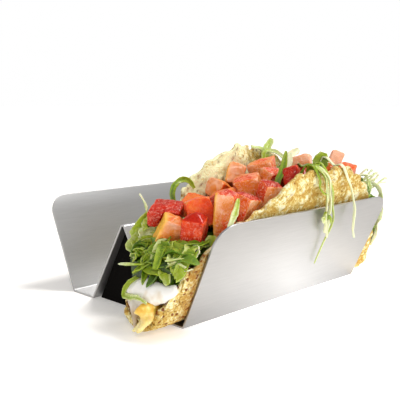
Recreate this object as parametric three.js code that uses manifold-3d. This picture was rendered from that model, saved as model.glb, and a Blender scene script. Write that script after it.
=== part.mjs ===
// A filled hard-shell taco standing in the near slot of a two-slot folded steel taco holder.
//
// Units are millimetres and +Z is up. The origin is on the underside of the holder, at the middle of the
// flat floor that carries the taco. +X runs along the fold, from the end where the filling spills out to
// the far end. +Y runs from the holder's outer plate, past the taco, to its middle ridge and empty slot.

import * as THREE from "three";
import { ConvexGeometry } from "three/addons/geometries/ConvexGeometry.js";
import { mergeVertices } from "three/addons/utils/BufferGeometryUtils.js";
import Module from "manifold-3d";

const wasm = await Module();
wasm.setup();

// ---------- driving dimensions ----------

const GAP = 0.35; // air kept between neighbouring pieces

const HOLDER = {
  length: 101.6, // along the slots
  sheet: 0.8, // steel thickness
  floor: 13.1, // flat under each taco, outside
  plateHeight: 36.9, // top edge of each outer plate
  plateLean: 24.5, // degrees out from upright
  ridgeHeight: 33, // top of the middle ridge
  ridgeCorner: 35.5, // where its two walls would meet, above its round top
  ridgeHalfBase: 19,
  ridgeTopRadius: 2.6,
  bendRadius: 0.9,
  cornerRadius: 8, // rounded upper corners of the outer plates
};

const SHELL = {
  radius: 60, // of the flat tortilla
  thickness: 2.2,
  rimThickness: 1.2,
  nearLean: HOLDER.plateLean, // the near wall lies along the outer plate
  nearStraighten: 8, // degrees by which the wall stands up towards its rim
  farLean: 11,
  farStraighten: 5,
  straightenOver: 45, // length of wall over which it stands up
  tipWidth: 1.2, // the tips at the ends of the fold are cut this far short
  tipReach: 9, // least length of wall at those ends
  columns: 42, // facets along the fold
  rows: 8, // facets up each wall
};

// Where the tortilla's edge stands proud of its mean radius or dips in: degrees round the rim from the far
// end of the fold, width of the swell in degrees, and height in millimetres.
const RIM_SWELLS = {
  near: [
    { at: 121, width: 13, by: -7 },
    { at: 168, width: 13, by: 5 },
    { at: 89, width: 11, by: -2.6 },
  ],
  far: [
    { at: 132, width: 20, by: -6 },
    { at: 85, width: 22, by: 2.6 },
    { at: 176, width: 11, by: 6 },
  ],
};
const RIM_RAGGED = 0.6; // crumbly edge, plus or minus

const LAYERS = {
  from: -64, // where the filling starts, beyond the end of the fold
  to: 57,
  stations: 16,
  facetsAcross: 5, // from wall to wall
  upWall: 2, // facets up each wall
  clearance: 0.7, // between the layers, and to the shell, as all of them are faceted
  cheeseTop: 9,
  creamTop: 18,
};

const LETTUCE_FROM = -60; // the heap stops a little short of the cream at the spilling end

// Height of the lettuce heap along the fold, before shreds and tomato.
const HEAP = [
  { x: -61, z: 21 },
  { x: -54, z: 26 },
  { x: -40, z: 30 },
  { x: -26, z: 34 },
  { x: -8, z: 40 },
  { x: 14, z: 44 },
  { x: 34, z: 44 },
  { x: 48, z: 35 },
  { x: 57, z: 21 },
];

// ---------- small tools ----------

const radians = THREE.MathUtils.degToRad;
const lerp = THREE.MathUtils.lerp;
const smooth = (t) => THREE.MathUtils.smoothstep(t, 0, 1);
const vector = (x, y, z) => new THREE.Vector3(x, y, z);

/** A repeatable stream of numbers between 0 and 1. */
function seeded(seed) {
  let state = seed;
  return () => {
    state = (state + 0x6d2b79f5) | 0;
    let t = Math.imul(state ^ (state >>> 15), 1 | state);
    t = (t + Math.imul(t ^ (t >>> 7), 61 | t)) ^ t;
    return ((t ^ (t >>> 14)) >>> 0) / 4294967296;
  };
}

/** Height of a line through points with x and z, at x. */
function profileAt(points, x) {
  const last = points.length - 1;
  if (x <= points[0].x) return points[0].z;
  if (x >= points[last].x) return points[last].z;
  const k = points.findIndex((p) => p.x > x);
  const [a, b] = [points[k - 1], points[k]];
  return lerp(a.z, b.z, (x - a.x) / (b.x - a.x));
}

/** Soft lumps over a surface, between -1 and 1, about `size` across. */
function lumps(u, v, size) {
  const k = (2 * Math.PI) / size;
  return (
    0.5 * Math.sin(k * u + 1.3 * Math.sin(k * 0.6 * v)) +
    0.5 * Math.sin(k * 0.9 * v + 0.7 + 1.1 * Math.sin(k * 0.7 * u + 2))
  );
}

/** A closed three.js geometry as a manifold solid. */
function solidOf(geometry) {
  const bare = new THREE.BufferGeometry();
  bare.setAttribute("position", geometry.getAttribute("position"));
  if (geometry.index) bare.setIndex(geometry.index);
  const merged = mergeVertices(bare, 1e-4);
  return new wasm.Manifold(
    new wasm.Mesh({
      numProp: 3,
      vertProperties: new Float32Array(merged.attributes.position.array),
      triVerts: new Uint32Array(merged.index.array),
    }),
  );
}

/** A manifold solid as a three.js geometry. */
function geometryOf(solid) {
  const { vertProperties, triVerts, numProp } = solid.getMesh();
  const positions = new Float32Array((vertProperties.length / numProp) * 3);
  for (let i = 0; i < positions.length / 3; i++)
    for (let k = 0; k < 3; k++)
      positions[3 * i + k] = vertProperties[numProp * i + k];
  const geometry = new THREE.BufferGeometry();
  geometry.setAttribute("position", new THREE.BufferAttribute(positions, 3));
  geometry.setIndex(Array.from(triVerts));
  geometry.computeVertexNormals();
  return geometry;
}

/** The biggest separate body of a solid: loose scraps are dropped. */
function largest(solid) {
  const bodies = solid.decompose();
  return bodies.reduce((best, body) =>
    body.volume() > best.volume() ? body : best,
  );
}

/** Closed skin over a grid of rings of points: the rings are joined and both ends are capped with fans. */
function loft(rings) {
  const count = rings[0].length;
  const positions = rings.flat().flatMap((p) => [p.x, p.y, p.z]);
  const index = [];
  for (let i = 0; i + 1 < rings.length; i++)
    for (let j = 0; j < count; j++) {
      const [a, b] = [i * count + j, i * count + ((j + 1) % count)];
      const [c, d] = [a + count, b + count];
      index.push(a, b, c, b, d, c);
    }
  for (const [ring, turned] of [
    [0, true],
    [rings.length - 1, false],
  ]) {
    const centre = positions.length / 3;
    const mean = rings[ring]
      .reduce((sum, p) => sum.add(p), vector(0, 0, 0))
      .divideScalar(count);
    positions.push(mean.x, mean.y, mean.z);
    for (let j = 0; j < count; j++) {
      const [a, b] = [ring * count + j, ring * count + ((j + 1) % count)];
      index.push(...(turned ? [b, a, centre] : [a, b, centre]));
    }
  }
  const geometry = new THREE.BufferGeometry();
  geometry.setAttribute(
    "position",
    new THREE.Float32BufferAttribute(positions, 3),
  );
  geometry.setIndex(index);
  const solid = solidOf(geometry);
  return solid.volume() > 0 ? solid : solidOf(flipped(geometry));
}

/** The same geometry with its faces turned round. */
function flipped(geometry) {
  const turned = geometry.clone();
  const index = Array.from(geometry.index.array);
  for (let i = 0; i < index.length; i += 3)
    [index[i + 1], index[i + 2]] = [index[i + 2], index[i + 1]];
  turned.setIndex(index);
  return turned;
}

/**
 * A strip or strand along a smooth line through points. `width` and `thickness` are its full sizes at t from
 * 0 to 1, `up` is the direction its flat side faces, and `twist` turns it by the far end, in degrees.
 */
function strip(points, { width, thickness, up, twist = 0, steps = 6, sides = 4 }) {
  const line = new THREE.CatmullRomCurve3(points);
  const rings = [];
  for (let i = 0; i <= steps; i++) {
    const t = i / steps;
    const centre = line.getPoint(t);
    const along = line.getTangent(t);
    const across = along.clone().cross(up).normalize();
    const out = across.clone().cross(along).normalize();
    across.applyAxisAngle(along, radians(twist * t));
    out.applyAxisAngle(along, radians(twist * t));
    const ring = [];
    for (let k = 0; k < sides; k++) {
      const angle = (2 * Math.PI * (k + 0.5)) / sides;
      const stretch = sides === 4 ? Math.SQRT2 / 2 : 0.5;
      ring.push(
        centre
          .clone()
          .addScaledVector(across, Math.cos(angle) * stretch * width(t))
          .addScaledVector(out, Math.sin(angle) * stretch * thickness(t)),
      );
    }
    rings.push(ring);
  }
  return loft(rings);
}

// ---------- steel holder ----------

/** The bent line down the middle of the sheet, from one plate's top edge to the other's, as [y, z] pairs. */
function holderLine() {
  const half = HOLDER.sheet / 2;
  const lean = Math.tan(radians(HOLDER.plateLean));
  const skew = half / Math.cos(radians(HOLDER.plateLean));
  const floor = HOLDER.floor / 2;
  const middle = floor + HOLDER.ridgeHalfBase;
  const plateFoot = floor - half * lean - skew;
  const ridge = [
    [floor, half],
    [middle, HOLDER.ridgeCorner],
  ];
  const near = [
    [-plateFoot - HOLDER.plateHeight * lean, HOLDER.plateHeight],
    [-plateFoot, half],
  ];
  const mirrored = (pairs) => pairs.map(([y, z]) => [2 * middle - y, z]);
  return [...near, ...ridge, ...mirrored([ridge[0]]), ...mirrored(near).reverse()];
}

/** Closed outline of a sheet of the given thickness along the bent line, with rounded bends. */
function sheetOutline(corners, thickness) {
  const middle = [];
  corners.forEach((corner, i) => {
    const point = new THREE.Vector2(...corner);
    if (i === 0 || i === corners.length - 1) {
      middle.push(point);
      return;
    }
    const before = new THREE.Vector2(...corners[i - 1]).sub(point).normalize();
    const after = new THREE.Vector2(...corners[i + 1]).sub(point).normalize();
    const isRidge = point.y > HOLDER.ridgeHeight / 2;
    const radius = isRidge ? HOLDER.ridgeTopRadius : HOLDER.bendRadius;
    const open = Math.acos(THREE.MathUtils.clamp(before.dot(after), -1, 1));
    const inset = radius / Math.tan(open / 2);
    const steps = isRidge ? 8 : 4;
    const centre = point
      .clone()
      .addScaledVector(
        before.clone().add(after).normalize(),
        radius / Math.sin(open / 2),
      );
    const start = point.clone().addScaledVector(before, inset).sub(centre);
    const end = point.clone().addScaledVector(after, inset).sub(centre);
    const sweep = Math.PI - open;
    const turn = Math.sign(start.x * end.y - start.y * end.x);
    for (let k = 0; k <= steps; k++)
      middle.push(
        start
          .clone()
          .rotateAround(new THREE.Vector2(), (turn * sweep * k) / steps)
          .add(centre),
      );
  });
  const side = (sign) =>
    middle.map((p, i) => {
      const along = middle[Math.min(i + 1, middle.length - 1)]
        .clone()
        .sub(middle[Math.max(i - 1, 0)])
        .normalize();
      return p
        .clone()
        .add(
          new THREE.Vector2(-along.y, along.x).multiplyScalar(
            (sign * thickness) / 2,
          ),
        );
    });
  return [...side(1), ...side(-1).reverse()];
}

/** The folded sheet, `grown` thicker all round, with the outer plates' corners rounded off. */
function holderSolid(grown = 0) {
  const outline = sheetOutline(holderLine(), HOLDER.sheet + 2 * grown);
  const length = HOLDER.length + 2 * grown;
  const sheet = new THREE.ExtrudeGeometry(new THREE.Shape(outline), {
    depth: length,
    bevelEnabled: false,
  });
  // The outline's own x and y become Y and Z, and the extrusion runs along X.
  const alongX = new THREE.Matrix4().makeBasis(
    vector(0, 1, 0),
    vector(0, 0, 1),
    vector(1, 0, 0),
  );
  sheet.applyMatrix4(alongX).translate(-length / 2, 0, 0);
  let solid = solidOf(sheet);
  if (grown) return solid;
  for (const end of [-1, 1]) solid = solid.subtract(cornerCut(end));
  return solid;
}

/** What is cut away to round the plates' upper corners at one end of the holder. */
function cornerCut(end) {
  const radius = HOLDER.cornerRadius;
  const high = radius * Math.cos(radians(HOLDER.plateLean));
  const [x, z] = [HOLDER.length / 2 - radius, HOLDER.plateHeight - high];
  const spare = 2;
  const shape = new THREE.Shape();
  shape.moveTo(x + radius + spare, z);
  shape.lineTo(x + radius + spare, z + high + spare);
  shape.lineTo(x, z + high + spare);
  const steps = 10;
  for (let k = 0; k <= steps; k++) {
    const angle = (Math.PI / 2) * (1 - k / steps);
    shape.lineTo(x + radius * Math.cos(angle), z + high * Math.sin(angle));
  }
  const depth = 200;
  const cut = new THREE.ExtrudeGeometry(shape, { depth, bevelEnabled: false });
  // The shape lies in XZ, and its extrusion runs along -Y.
  cut.rotateX(Math.PI / 2).translate(0, depth / 2, 0);
  if (end < 0) cut.rotateZ(Math.PI);
  return solidOf(cut);
}

// ---------- taco shell ----------

// The fold is a round trough that rests on the holder's floor and against its outer plate.
const FOLD = (() => {
  const lean = radians(HOLDER.plateLean);
  // A little more than the ridge's own lean, so that the fold goes in easily.
  const ridgeLean = Math.atan(HOLDER.ridgeHalfBase / HOLDER.ridgeHeight);
  const plateFoot =
    -HOLDER.floor / 2 + HOLDER.sheet / Math.cos(lean) - HOLDER.sheet * Math.tan(lean);
  const ridgeFoot = HOLDER.floor / 2;
  const perRadius = (angle) => Math.tan((Math.PI / 2 - angle) / 2);
  const inscribed =
    (ridgeFoot - plateFoot) / (perRadius(lean) + perRadius(ridgeLean));
  return {
    radius: inscribed - GAP,
    y: plateFoot + inscribed * perRadius(lean),
    z: HOLDER.sheet + inscribed,
  };
})();

/** One wall's outer face as a table of points at even lengths up from the middle of the fold. */
function wallTable(side, lean, straighten) {
  const step = 0.25;
  const reach = 90;
  const upright = radians(90 - lean);
  const arc = FOLD.radius * upright;
  const heading = (s) =>
    s < arc
      ? s / FOLD.radius
      : upright + radians(straighten) * smooth((s - arc) / SHELL.straightenOver);
  const table = [{ y: FOLD.y, z: FOLD.z - FOLD.radius, heading: 0 }];
  for (let i = 1; i * step <= reach; i++) {
    const middle = heading((i - 0.5) * step);
    const last = table[i - 1];
    table.push({
      y: last.y + side * Math.cos(middle) * step,
      z: last.z + Math.sin(middle) * step,
      heading: heading(i * step),
    });
  }
  return { side, step, table };
}

const NEAR_WALL = wallTable(-1, SHELL.nearLean, SHELL.nearStraighten);
const FAR_WALL = wallTable(1, SHELL.farLean, SHELL.farStraighten);

/**
 * A point of the tortilla: x along the fold, s up the near wall (negative) or far wall (positive), and how
 * far in from the outer face.
 */
function tortillaPoint(x, s, inward) {
  const { side, step, table } = s < 0 ? NEAR_WALL : FAR_WALL;
  const k = Math.min(Math.abs(s) / step, table.length - 1.001);
  const [a, b] = [table[Math.floor(k)], table[Math.floor(k) + 1]];
  const t = k - Math.floor(k);
  const heading = lerp(a.heading, b.heading, t);
  const push = inward + buckle(x, s);
  return vector(
    x,
    lerp(a.y, b.y, t) - side * Math.sin(heading) * push,
    lerp(a.z, b.z, t) + Math.cos(heading) * push,
  );
}

/** How far the fried tortilla buckles inwards. It never bulges out where it lies in the holder. */
function buckle(x, s) {
  const high = smooth((Math.abs(s) - 12) / 45);
  const blisters = 0.3 * (1 + lumps(x, s, 11));
  if (s < 0) {
    const free = smooth((Math.abs(s) - 44) / 10);
    return high * blisters + free * 0.9 * Math.sin(x / 6.5 + 0.6);
  }
  const waves = 1.9 * Math.sin(x / 6.2 + 2.6) + 0.9 * Math.sin(x / 3.1 + 0.4);
  return high * (blisters + waves * high);
}

/** Radius of the tortilla's edge at an angle round it, in degrees from the far end of the fold. */
function rimRadius(side, degrees) {
  const swells = side < 0 ? RIM_SWELLS.near : RIM_SWELLS.far;
  const ragged =
    RIM_RAGGED * (Math.sin(degrees * 0.83 + side) + 0.6 * Math.sin(degrees * 0.37));
  return swells.reduce(
    (radius, { at, width, by }) =>
      radius + by * Math.exp(-(((degrees - at) / width) ** 2)),
    SHELL.radius + ragged,
  );
}

/** Length of wall from the fold to the rim, at x. */
function wallReach(side, x) {
  let [low, high] = [0, 80];
  for (let i = 0; i < 30; i++) {
    const s = (low + high) / 2;
    const degrees = THREE.MathUtils.radToDeg(Math.atan2(s, x));
    if (Math.hypot(x, s) < rimRadius(side, degrees)) low = s;
    else high = s;
  }
  return low;
}

/** The folded tortilla, `grown` thicker all round. */
function shellSolid(grown = 0) {
  const { columns, rows, thickness, rimThickness, tipWidth, tipReach } = SHELL;
  const [start, end] = [
    tipWidth - rimRadius(1, 180),
    rimRadius(1, 0) - tipWidth,
  ];
  const stations = Array.from({ length: columns + 1 }, (_, i) =>
    lerp(start, end, (1 - Math.cos((Math.PI * i) / columns)) / 2),
  );
  const face = (x, inward) => {
    const points = [];
    for (let j = -rows; j <= rows; j++) {
      const side = Math.sign(j) || 1;
      const reach = Math.max(wallReach(side, x), tipReach) + grown;
      const t = Math.abs(j) / rows;
      const thinned = ((thickness - rimThickness) / 2) * t ** 6;
      const inset = inward ? thickness - thinned + grown : thinned - grown;
      points.push(tortillaPoint(x, side * reach * t ** 1.4, inset));
    }
    return points;
  };
  const rings = stations.map((x) => [...face(x, false), ...face(x, true).reverse()]);
  for (const [ring, push] of [
    [rings[0], -grown],
    [rings[columns], grown],
  ])
    for (const point of ring) point.x += push;
  return gridSkin(rings, 2 * rows + 1);
}

/** Closed skin round a folded plate: a ring holds `span` points of one face and then as many of the other. */
function gridSkin(rings, span) {
  const count = rings[0].length;
  const positions = rings.flat().flatMap((p) => [p.x, p.y, p.z]);
  const index = [];
  for (let i = 0; i + 1 < rings.length; i++)
    for (let j = 0; j < count; j++) {
      const [a, b] = [i * count + j, i * count + ((j + 1) % count)];
      const [c, d] = [a + count, b + count];
      index.push(a, c, b, b, c, d);
    }
  for (const [ring, turned] of [
    [0, false],
    [rings.length - 1, true],
  ])
    for (let j = 0; j + 1 < span; j++) {
      const [a, b] = [ring * count + j, ring * count + j + 1];
      const [c, d] = [
        ring * count + count - 1 - j,
        ring * count + count - 2 - j,
      ];
      index.push(...(turned ? [a, c, b, b, c, d] : [a, b, c, b, d, c]));
    }
  const geometry = new THREE.BufferGeometry();
  geometry.setAttribute(
    "position",
    new THREE.Float32BufferAttribute(positions, 3),
  );
  geometry.setIndex(index);
  const solid = solidOf(geometry);
  return solid.volume() > 0 ? solid : solidOf(flipped(geometry));
}

// ---------- layers of filling ----------

/** Length of wall from the fold up to a height, on the face that the filling keeps to. */
function wallTo(side, x, z) {
  let [low, high] = [0, 85];
  for (let i = 0; i < 24; i++) {
    const s = (low + high) / 2;
    if (fillingFace(x, side * s).z < z) low = s;
    else high = s;
  }
  return side * low;
}

/** Point just inside the shell. */
const fillingFace = (x, s) =>
  tortillaPoint(x, s, SHELL.thickness + LAYERS.clearance);

/**
 * A layer of filling that runs through the taco between two heights, each a function of x and of the place
 * across from -1 at the near wall to 1 at the far one. Without a bottom it goes down into the fold.
 */
function layerSolid(bottom, top, { from = LAYERS.from, to = LAYERS.to } = {}) {
  const { stations, facetsAcross, upWall } = LAYERS;
  const rings = [];
  for (let i = 0; i <= stations; i++) {
    const x = lerp(LAYERS.from, LAYERS.to, i / stations);
    if (x < from || x > to) continue;
    const up = (side, height) => (height ? wallTo(side, x, height(x, side)) : 0);
    const far = { low: up(1, bottom), high: up(1, top) };
    const near = { low: up(-1, bottom), high: up(-1, top) };
    const steps = bottom ? upWall : 2 * upWall;
    const ring = [];
    for (let k = 0; k < steps; k++)
      ring.push(fillingFace(x, lerp(far.low, far.high, k / steps)));
    ring.push(...across(x, far.high, near.high, top));
    for (let k = 1; k < steps; k++)
      ring.push(fillingFace(x, lerp(near.high, near.low, k / steps)));
    if (bottom) ring.push(...across(x, near.low, far.low, bottom).slice(0, -1));
    rings.push(ring);
  }
  return loft(rings);

  /** Points from one wall to the other along a height. */
  function across(x, fromS, toS, height) {
    const [a, b] = [fillingFace(x, fromS), fillingFace(x, toS)];
    const place = Math.sign(fromS);
    return Array.from({ length: facetsAcross + 1 }, (_, k) => {
      const t = k / facetsAcross;
      return vector(x, lerp(a.y, b.y, t), height(x, place * (1 - 2 * t)));
    });
  }
}

/** 0 at the two ends of the filling, and 1 once `over` millimetres in. */
function endTaper(x, over) {
  return (
    smooth((x - LAYERS.from + 1) / over) * smooth((LAYERS.to + 1 - x) / over)
  );
}

const cheeseTop = (x, place) =>
  lerp(4.5, LAYERS.cheeseTop, endTaper(x, 6)) + 0.5 * lumps(x, 9 * place, 13);
const creamBottom = (x, place) => cheeseTop(x, place) + LAYERS.clearance;
const creamTop = (x, place) =>
  lerp(12.5, LAYERS.creamTop, endTaper(x, 9)) +
  0.8 * lumps(x + 4, 8 * place, 21) +
  1.2 * (1 - place * place);
const lettuceBottom = (x, place) => creamTop(x, place) + LAYERS.clearance;
const lettuceTop = (x, place) =>
  Math.max(
    profileAt(HEAP, x) + 1.5 * (1 - place * place) + 0.8 * lumps(x, 12 * place, 9),
    lettuceBottom(x, place) + 1.5,
  );

// ---------- tomato ----------

// Dice of tomato, from the end that spills to the far end: the middle of each, its size, and how it is turned
// about X, Y and Z, in degrees.
const DICE = [
  { at: [-49.5, 1.5, 30.8], size: [9.5, 8, 14], turn: [16, 24, -34] },
  { at: [-47.5, -8, 32.6], size: [9, 8, 13.5], turn: [10, -16, 30] },
  { at: [-46.5, 7, 37], size: [12, 12, 6.5], turn: [10, -22, 26] },
  { at: [-39.5, -3, 37.2], size: [11, 10, 11.5], turn: [-14, 16, 52] },
  { at: [-37.8, -13, 38.6], size: [9, 8, 15.5], turn: [4, -6, 40] },
  { at: [-30.5, 9.5, 37], size: [11, 9, 8], turn: [10, -12, 30] },
  { at: [-27.5, -12.5, 39.4], size: [11, 9, 10], turn: [20, 10, 14] },
  { at: [-26, -1, 40.2], size: [9, 9, 8], turn: [-20, -12, 10] },
  { at: [-15.5, -3.5, 44.6], size: [12.5, 10, 8.5], turn: [-12, -8, 38] },
  { at: [-18.5, 8.5, 42], size: [9, 8, 8], turn: [20, 30, 10] },
  { at: [-16.5, -14.5, 42.6], size: [9, 7, 10], turn: [16, 8, -20] },
  { at: [-8, 9.5, 46.8], size: [9, 8, 9], turn: [12, 24, 48] },
  { at: [4, 5.5, 48.8], size: [14, 11, 8.5], turn: [-14, -6, 34] },
  { at: [-4.5, -6, 46.5], size: [9, 8, 8], turn: [22, 8, -12] },
  { at: [-1.6, -13, 47.6], size: [10, 7, 8], turn: [-10, 14, 30] },
  { at: [11, -7.5, 46.6], size: [10, 8, 7.5], turn: [14, -16, 16] },
  { at: [28.5, 4.5, 49.6], size: [12, 9, 7], turn: [-10, 10, 30] },
  { at: [25, -8, 48], size: [10, 9, 8], turn: [-20, 10, 34] },
  { at: [40.5, -3, 50.2], size: [6.5, 6, 9], turn: [20, 24, 50] },
  { at: [37.5, -11, 46.8], size: [9, 7, 6], turn: [10, -14, 20] },
  { at: [49, -1, 41.5], size: [9, 9, 8], turn: [16, 40, 12] },
  { at: [57, -3.5, 30], size: [8, 8, 8], turn: [12, 50, 30] },
];

/** One cut piece of tomato: straight cuts, broken corners, and the bulge of the fruit's outside on top. */
function diceSolid({ at, size, turn }, seed, grown = 0) {
  const random = seeded(seed);
  const [w, d, h] = size.map((v) => v / 2);
  const nick = 0.32 * Math.min(w, d, h);
  const points = [vector(0, 0, 1.12 * h + grown)];
  for (const x of [-1, 1])
    for (const y of [-1, 1])
      for (const z of [-1, 1]) {
        const skew = () => lerp(0.78, 1, random());
        const corner = vector(x * w * skew(), y * d * skew(), z * h * skew());
        corner.add(vector(x, y, z).multiplyScalar(grown));
        for (const axis of ["x", "y", "z"]) {
          const point = corner.clone();
          point[axis] -= Math.sign(corner[axis]) * nick;
          points.push(point);
        }
      }
  const geometry = new ConvexGeometry(points);
  geometry.applyMatrix4(
    new THREE.Matrix4().compose(
      vector(...at),
      new THREE.Quaternion().setFromEuler(new THREE.Euler(...turn.map(radians), "ZYX")),
      vector(1, 1, 1),
    ),
  );
  return solidOf(geometry);
}

// ---------- lettuce ----------

const SHREDS = { count: 17, thickness: 0.7 };
const UP = vector(0, 0, 1);
const CORNERWISE = vector(-0.7, -0.7, 0.2); // out between the spilling end and the near wall

/** A shred with tapering ends, through points given as [x, y, z]. */
function shred(points, width, { up = UP, twist = 0, steps = 5, tip = 0.3 } = {}) {
  const taper = (t) => lerp(tip, 1, Math.sin(Math.PI * lerp(0.08, 0.92, t)) ** 0.6);
  return strip(
    points.map((p) => vector(...p)),
    { width: (t) => width * taper(t), thickness: () => SHREDS.thickness, up, twist, steps },
  );
}

/** Shreds scattered over the heap: each rises out of it, bends over and goes back in. */
function scatteredShreds() {
  const random = seeded(11);
  const between = (a, b) => lerp(a, b, random());
  const steps = 3;
  return Array.from({ length: SHREDS.count }, (_, i) => {
    const x = lerp(-57, 53, (i + random()) / SHREDS.count);
    const y = between(-12, 9);
    const heading = between(0, 2 * Math.PI);
    const length = between(14, 25);
    const lift = between(1.5, 4.5);
    const points = Array.from({ length: steps + 1 }, (_, k) => {
      const t = k / steps - 0.5;
      const px = x + Math.cos(heading) * length * t;
      const py = y + Math.sin(heading) * length * t * 0.6;
      const rise = lift * Math.cos(Math.PI * t) + between(-1, 1);
      return [px, py, lettuceTop(px, 0) - 1 + rise];
    });
    return shred(points, between(2.4, 4.4), { twist: between(-60, 60), steps });
  });
}

/**
 * A shred that climbs out of the heap through `climb`, crosses the rim of the near wall (side -1) or far wall
 * (side 1) at x, and hangs down outside it through `down`.
 */
function drapedShred(side, climb, x, down, width, options) {
  const rim = tortillaPoint(x, side * wallReach(side, x), SHELL.thickness / 2);
  const onRim = [x, rim.y, rim.z + 1.7];
  const before = [lerp(x, climb.at(-1)[0], 0.3), rim.y - 3 * side, rim.z + 1.2];
  const up = vector(0, 0.5 * side, 1);
  return shred([...climb, before, onRim, ...down], width, { up, steps: 12, ...options });
}

/** The shreds that hang over the near wall, the longest of them down in front of the plate. */
function hangingShreds() {
  const main = [
    [1.8, -25.4, 49],
    [3.2, -25.8, 44],
    [4, -25.2, 38.5],
    [5.6, -23.6, 33],
    [10, -20.4, 25],
  ];
  const thread = [
    [4.8, -26.4, 44],
    [5.6, -26, 38],
    [10.8, -23, 31],
    [12.2, -18.2, 22.6],
    [13.4, -13.2, 12.7],
  ];
  const stem = [
    [16, -25.6, 46.6],
    [20, -25.7, 38.3],
    [22.4, -24.7, 32.9],
    [24.6, -22.9, 27.5],
    [28.4, -21, 22.2],
  ];
  const hook = [[-1.9, -25.4, 47.7], [-1.7, -25.4, 45], [0.3, -25.8, 42.7], [2.6, -25.9, 42.3]];
  return [
    drapedShred(-1, [[3, -15, 41]], -1, main, 4.2, { steps: 14, tip: 0.7 }),
    drapedShred(-1, [[4, -15.5, 40]], 3, thread, 1.5),
    drapedShred(-1, [[14, -10, 43], [15.6, -14.6, 54.4]], 15, stem, 2.2),
    drapedShred(-1, [[-5, -15.5, 38]], -3.4, hook, 1.7, { steps: 9 }),
  ];
}

/** Leaves and strands at the end where the filling spills out. */
function spillingShreds() {
  const outward = vector(-0.8, -0.3, 0.6);
  const loop = [
    [-53, 4, 21],
    [-59, 6, 18],
    [-62.4, 8.6, 14.6],
    [-64, 8.4, 12],
    [-65, 4.6, 11.8],
    [-66.4, -1, 13.2],
    [-66.6, -6, 12.4],
  ];
  const overBack = [[-45, 5, 26], [-48.6, 10.5, 31], [-52, 13, 29.6], [-54, 13.6, 26], [-53, 13.8, 22.4]];
  const leaf = [[-46, 9, 26], [-54, 7, 28.4], [-56, 1, 29.4], [-55, -5, 27.6], [-50, -10, 26]];
  return [
    shred(loop, 2.5, { up: vector(-1, -0.4, 0.5), steps: 11 }),
    shred([[-53, 1, 23], [-60.6, 3.5, 22.4], [-62, 8, 21.6], [-62.4, 12.8, 21.2]], 2.2),
    shred(overBack, 7.6, { up: CORNERWISE, steps: 8, tip: 0.5 }),
    shred([[-49, 7, 24], [-49.6, 14.8, 30], [-47.8, 15.6, 36], [-48.2, 15.8, 40], [-50, 16.6, 43.4]], 1.8),
    shred(leaf, 6, { up: outward, steps: 7 }),
    shred([[-50, 6, 25], [-58, 3, 23.6], [-60, -4, 22], [-57, -10, 23]], 5.5, { up: outward }),
    shred([[-48, -4, 27], [-55, -7, 26.5], [-59.5, -10, 24.5]], 4.5, { steps: 3 }),
    shred([[-52, -2, 24], [-60, 2, 22], [-62.6, 5, 19.5]], 4.5, { steps: 3 }),
    shred([[-52, 0, 23], [-59, -6, 22], [-62, -11, 18.6]], 3.6, { up: outward, steps: 3 }),
    shred([[-46, -8, 28], [-52, -12, 27.5], [-56, -13.5, 25]], 5, { steps: 3 }),
  ];
}

/** Leaves and strands that stand up out of the top of the heap. */
function topShreds() {
  const back = vector(-0.3, -0.5, 1);
  const side = vector(-0.6, -0.6, 0.5);
  const loop = [
    [-37.8, 6, 31],
    [-37.8, 12, 38.5],
    [-37, 13.4, 44],
    [-33, 14, 47],
    [-28.6, 13.8, 46.4],
    [-26.6, 13, 43.6],
  ];
  const ribbon = [[14, -4, 43], [9.4, -8.5, 51], [5.6, -14.6, 51.2], [1.6, -20, 51.8], [0, -23, 53]];
  const upright = [[-8, -12, 38], [-9.6, -12.4, 46], [-5.8, -11.6, 50.6], [-3.8, -11, 54], [-3, -11, 57.4]];
  return [
    shred(loop, 2, { up: CORNERWISE, steps: 9 }),
    shred([[14, 7, 42], [15, 12.5, 50], [13.5, 14.5, 55.5], [8.5, 15.5, 57]], 3.4, { up: back }),
    shred([[12, 8, 42], [15.5, 13.5, 54], [19.5, 15.5, 57.7], [21.6, 15.6, 59.8]], 3, { up: side }),
    shred([[10, 9, 42], [13, 12.5, 55], [18, 11.6, 55], [24, 10, 51.3], [27, 8, 44]], 1.8, { up: side }),
    shred(upright, 3.2, { up: CORNERWISE }),
    shred([[3, -5, 43], [4, -5.5, 49], [6.6, -5.4, 53], [7.6, -4.6, 55.8]], 2.2, { up: CORNERWISE }),
    shred([[20, 5, 43], [25, 8.5, 52.6], [30.6, 8.4, 55.2]], 3, { up: CORNERWISE, steps: 3 }),
    shred(ribbon, 3.4, { steps: 7 }),
    shred([[13, -10, 43], [14.4, -13, 50], [15.6, -14.5, 56]], 5.6, { up: CORNERWISE, steps: 4 }),
  ];
}

/** Strands that droop out of the far end, past the end of the plate. */
function farShreds() {
  const far = vector(1, -0.5, 0.3);
  const fringe = [
    [44, -8, 38],
    [50, -14, 41.5],
    [54, -17.4, 37],
    [56, -16.4, 30],
    [57.4, -14, 21],
    [58, -11, 13],
  ];
  return [
    shred(fringe, 3.6, { up: far, steps: 8 }),
    shred([[46, -4, 35], [57, -9, 33], [60.6, -11, 24], [60.6, -9, 13]], 3.2, { up: far }),
    shred([[42, -9, 40], [46, -14, 45], [46.4, -16.6, 40], [44, -17.4, 36.6]], 2, { steps: 5 }),
    shred([[46, -6, 36], [52, -11, 41], [57, -13.2, 42.6]], 2.2, { steps: 3 }),
    shred([[44, 4, 37], [54, 8, 33], [60, 8, 25]], 3.4, { up: far, steps: 4 }),
  ];
}

// ---------- cheese and cream ----------

/** A rounded strand whose size follows a profile of x (place along it) and z (its width). */
function rope(points, sizes, { up, steps, sides, flat = 1, grown = 0 }) {
  const size = (t) => profileAt(sizes, t) + 2 * grown;
  return strip(
    points.map((p) => vector(...p)),
    { width: size, thickness: (t) => flat * size(t), up, steps, sides },
  );
}

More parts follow.
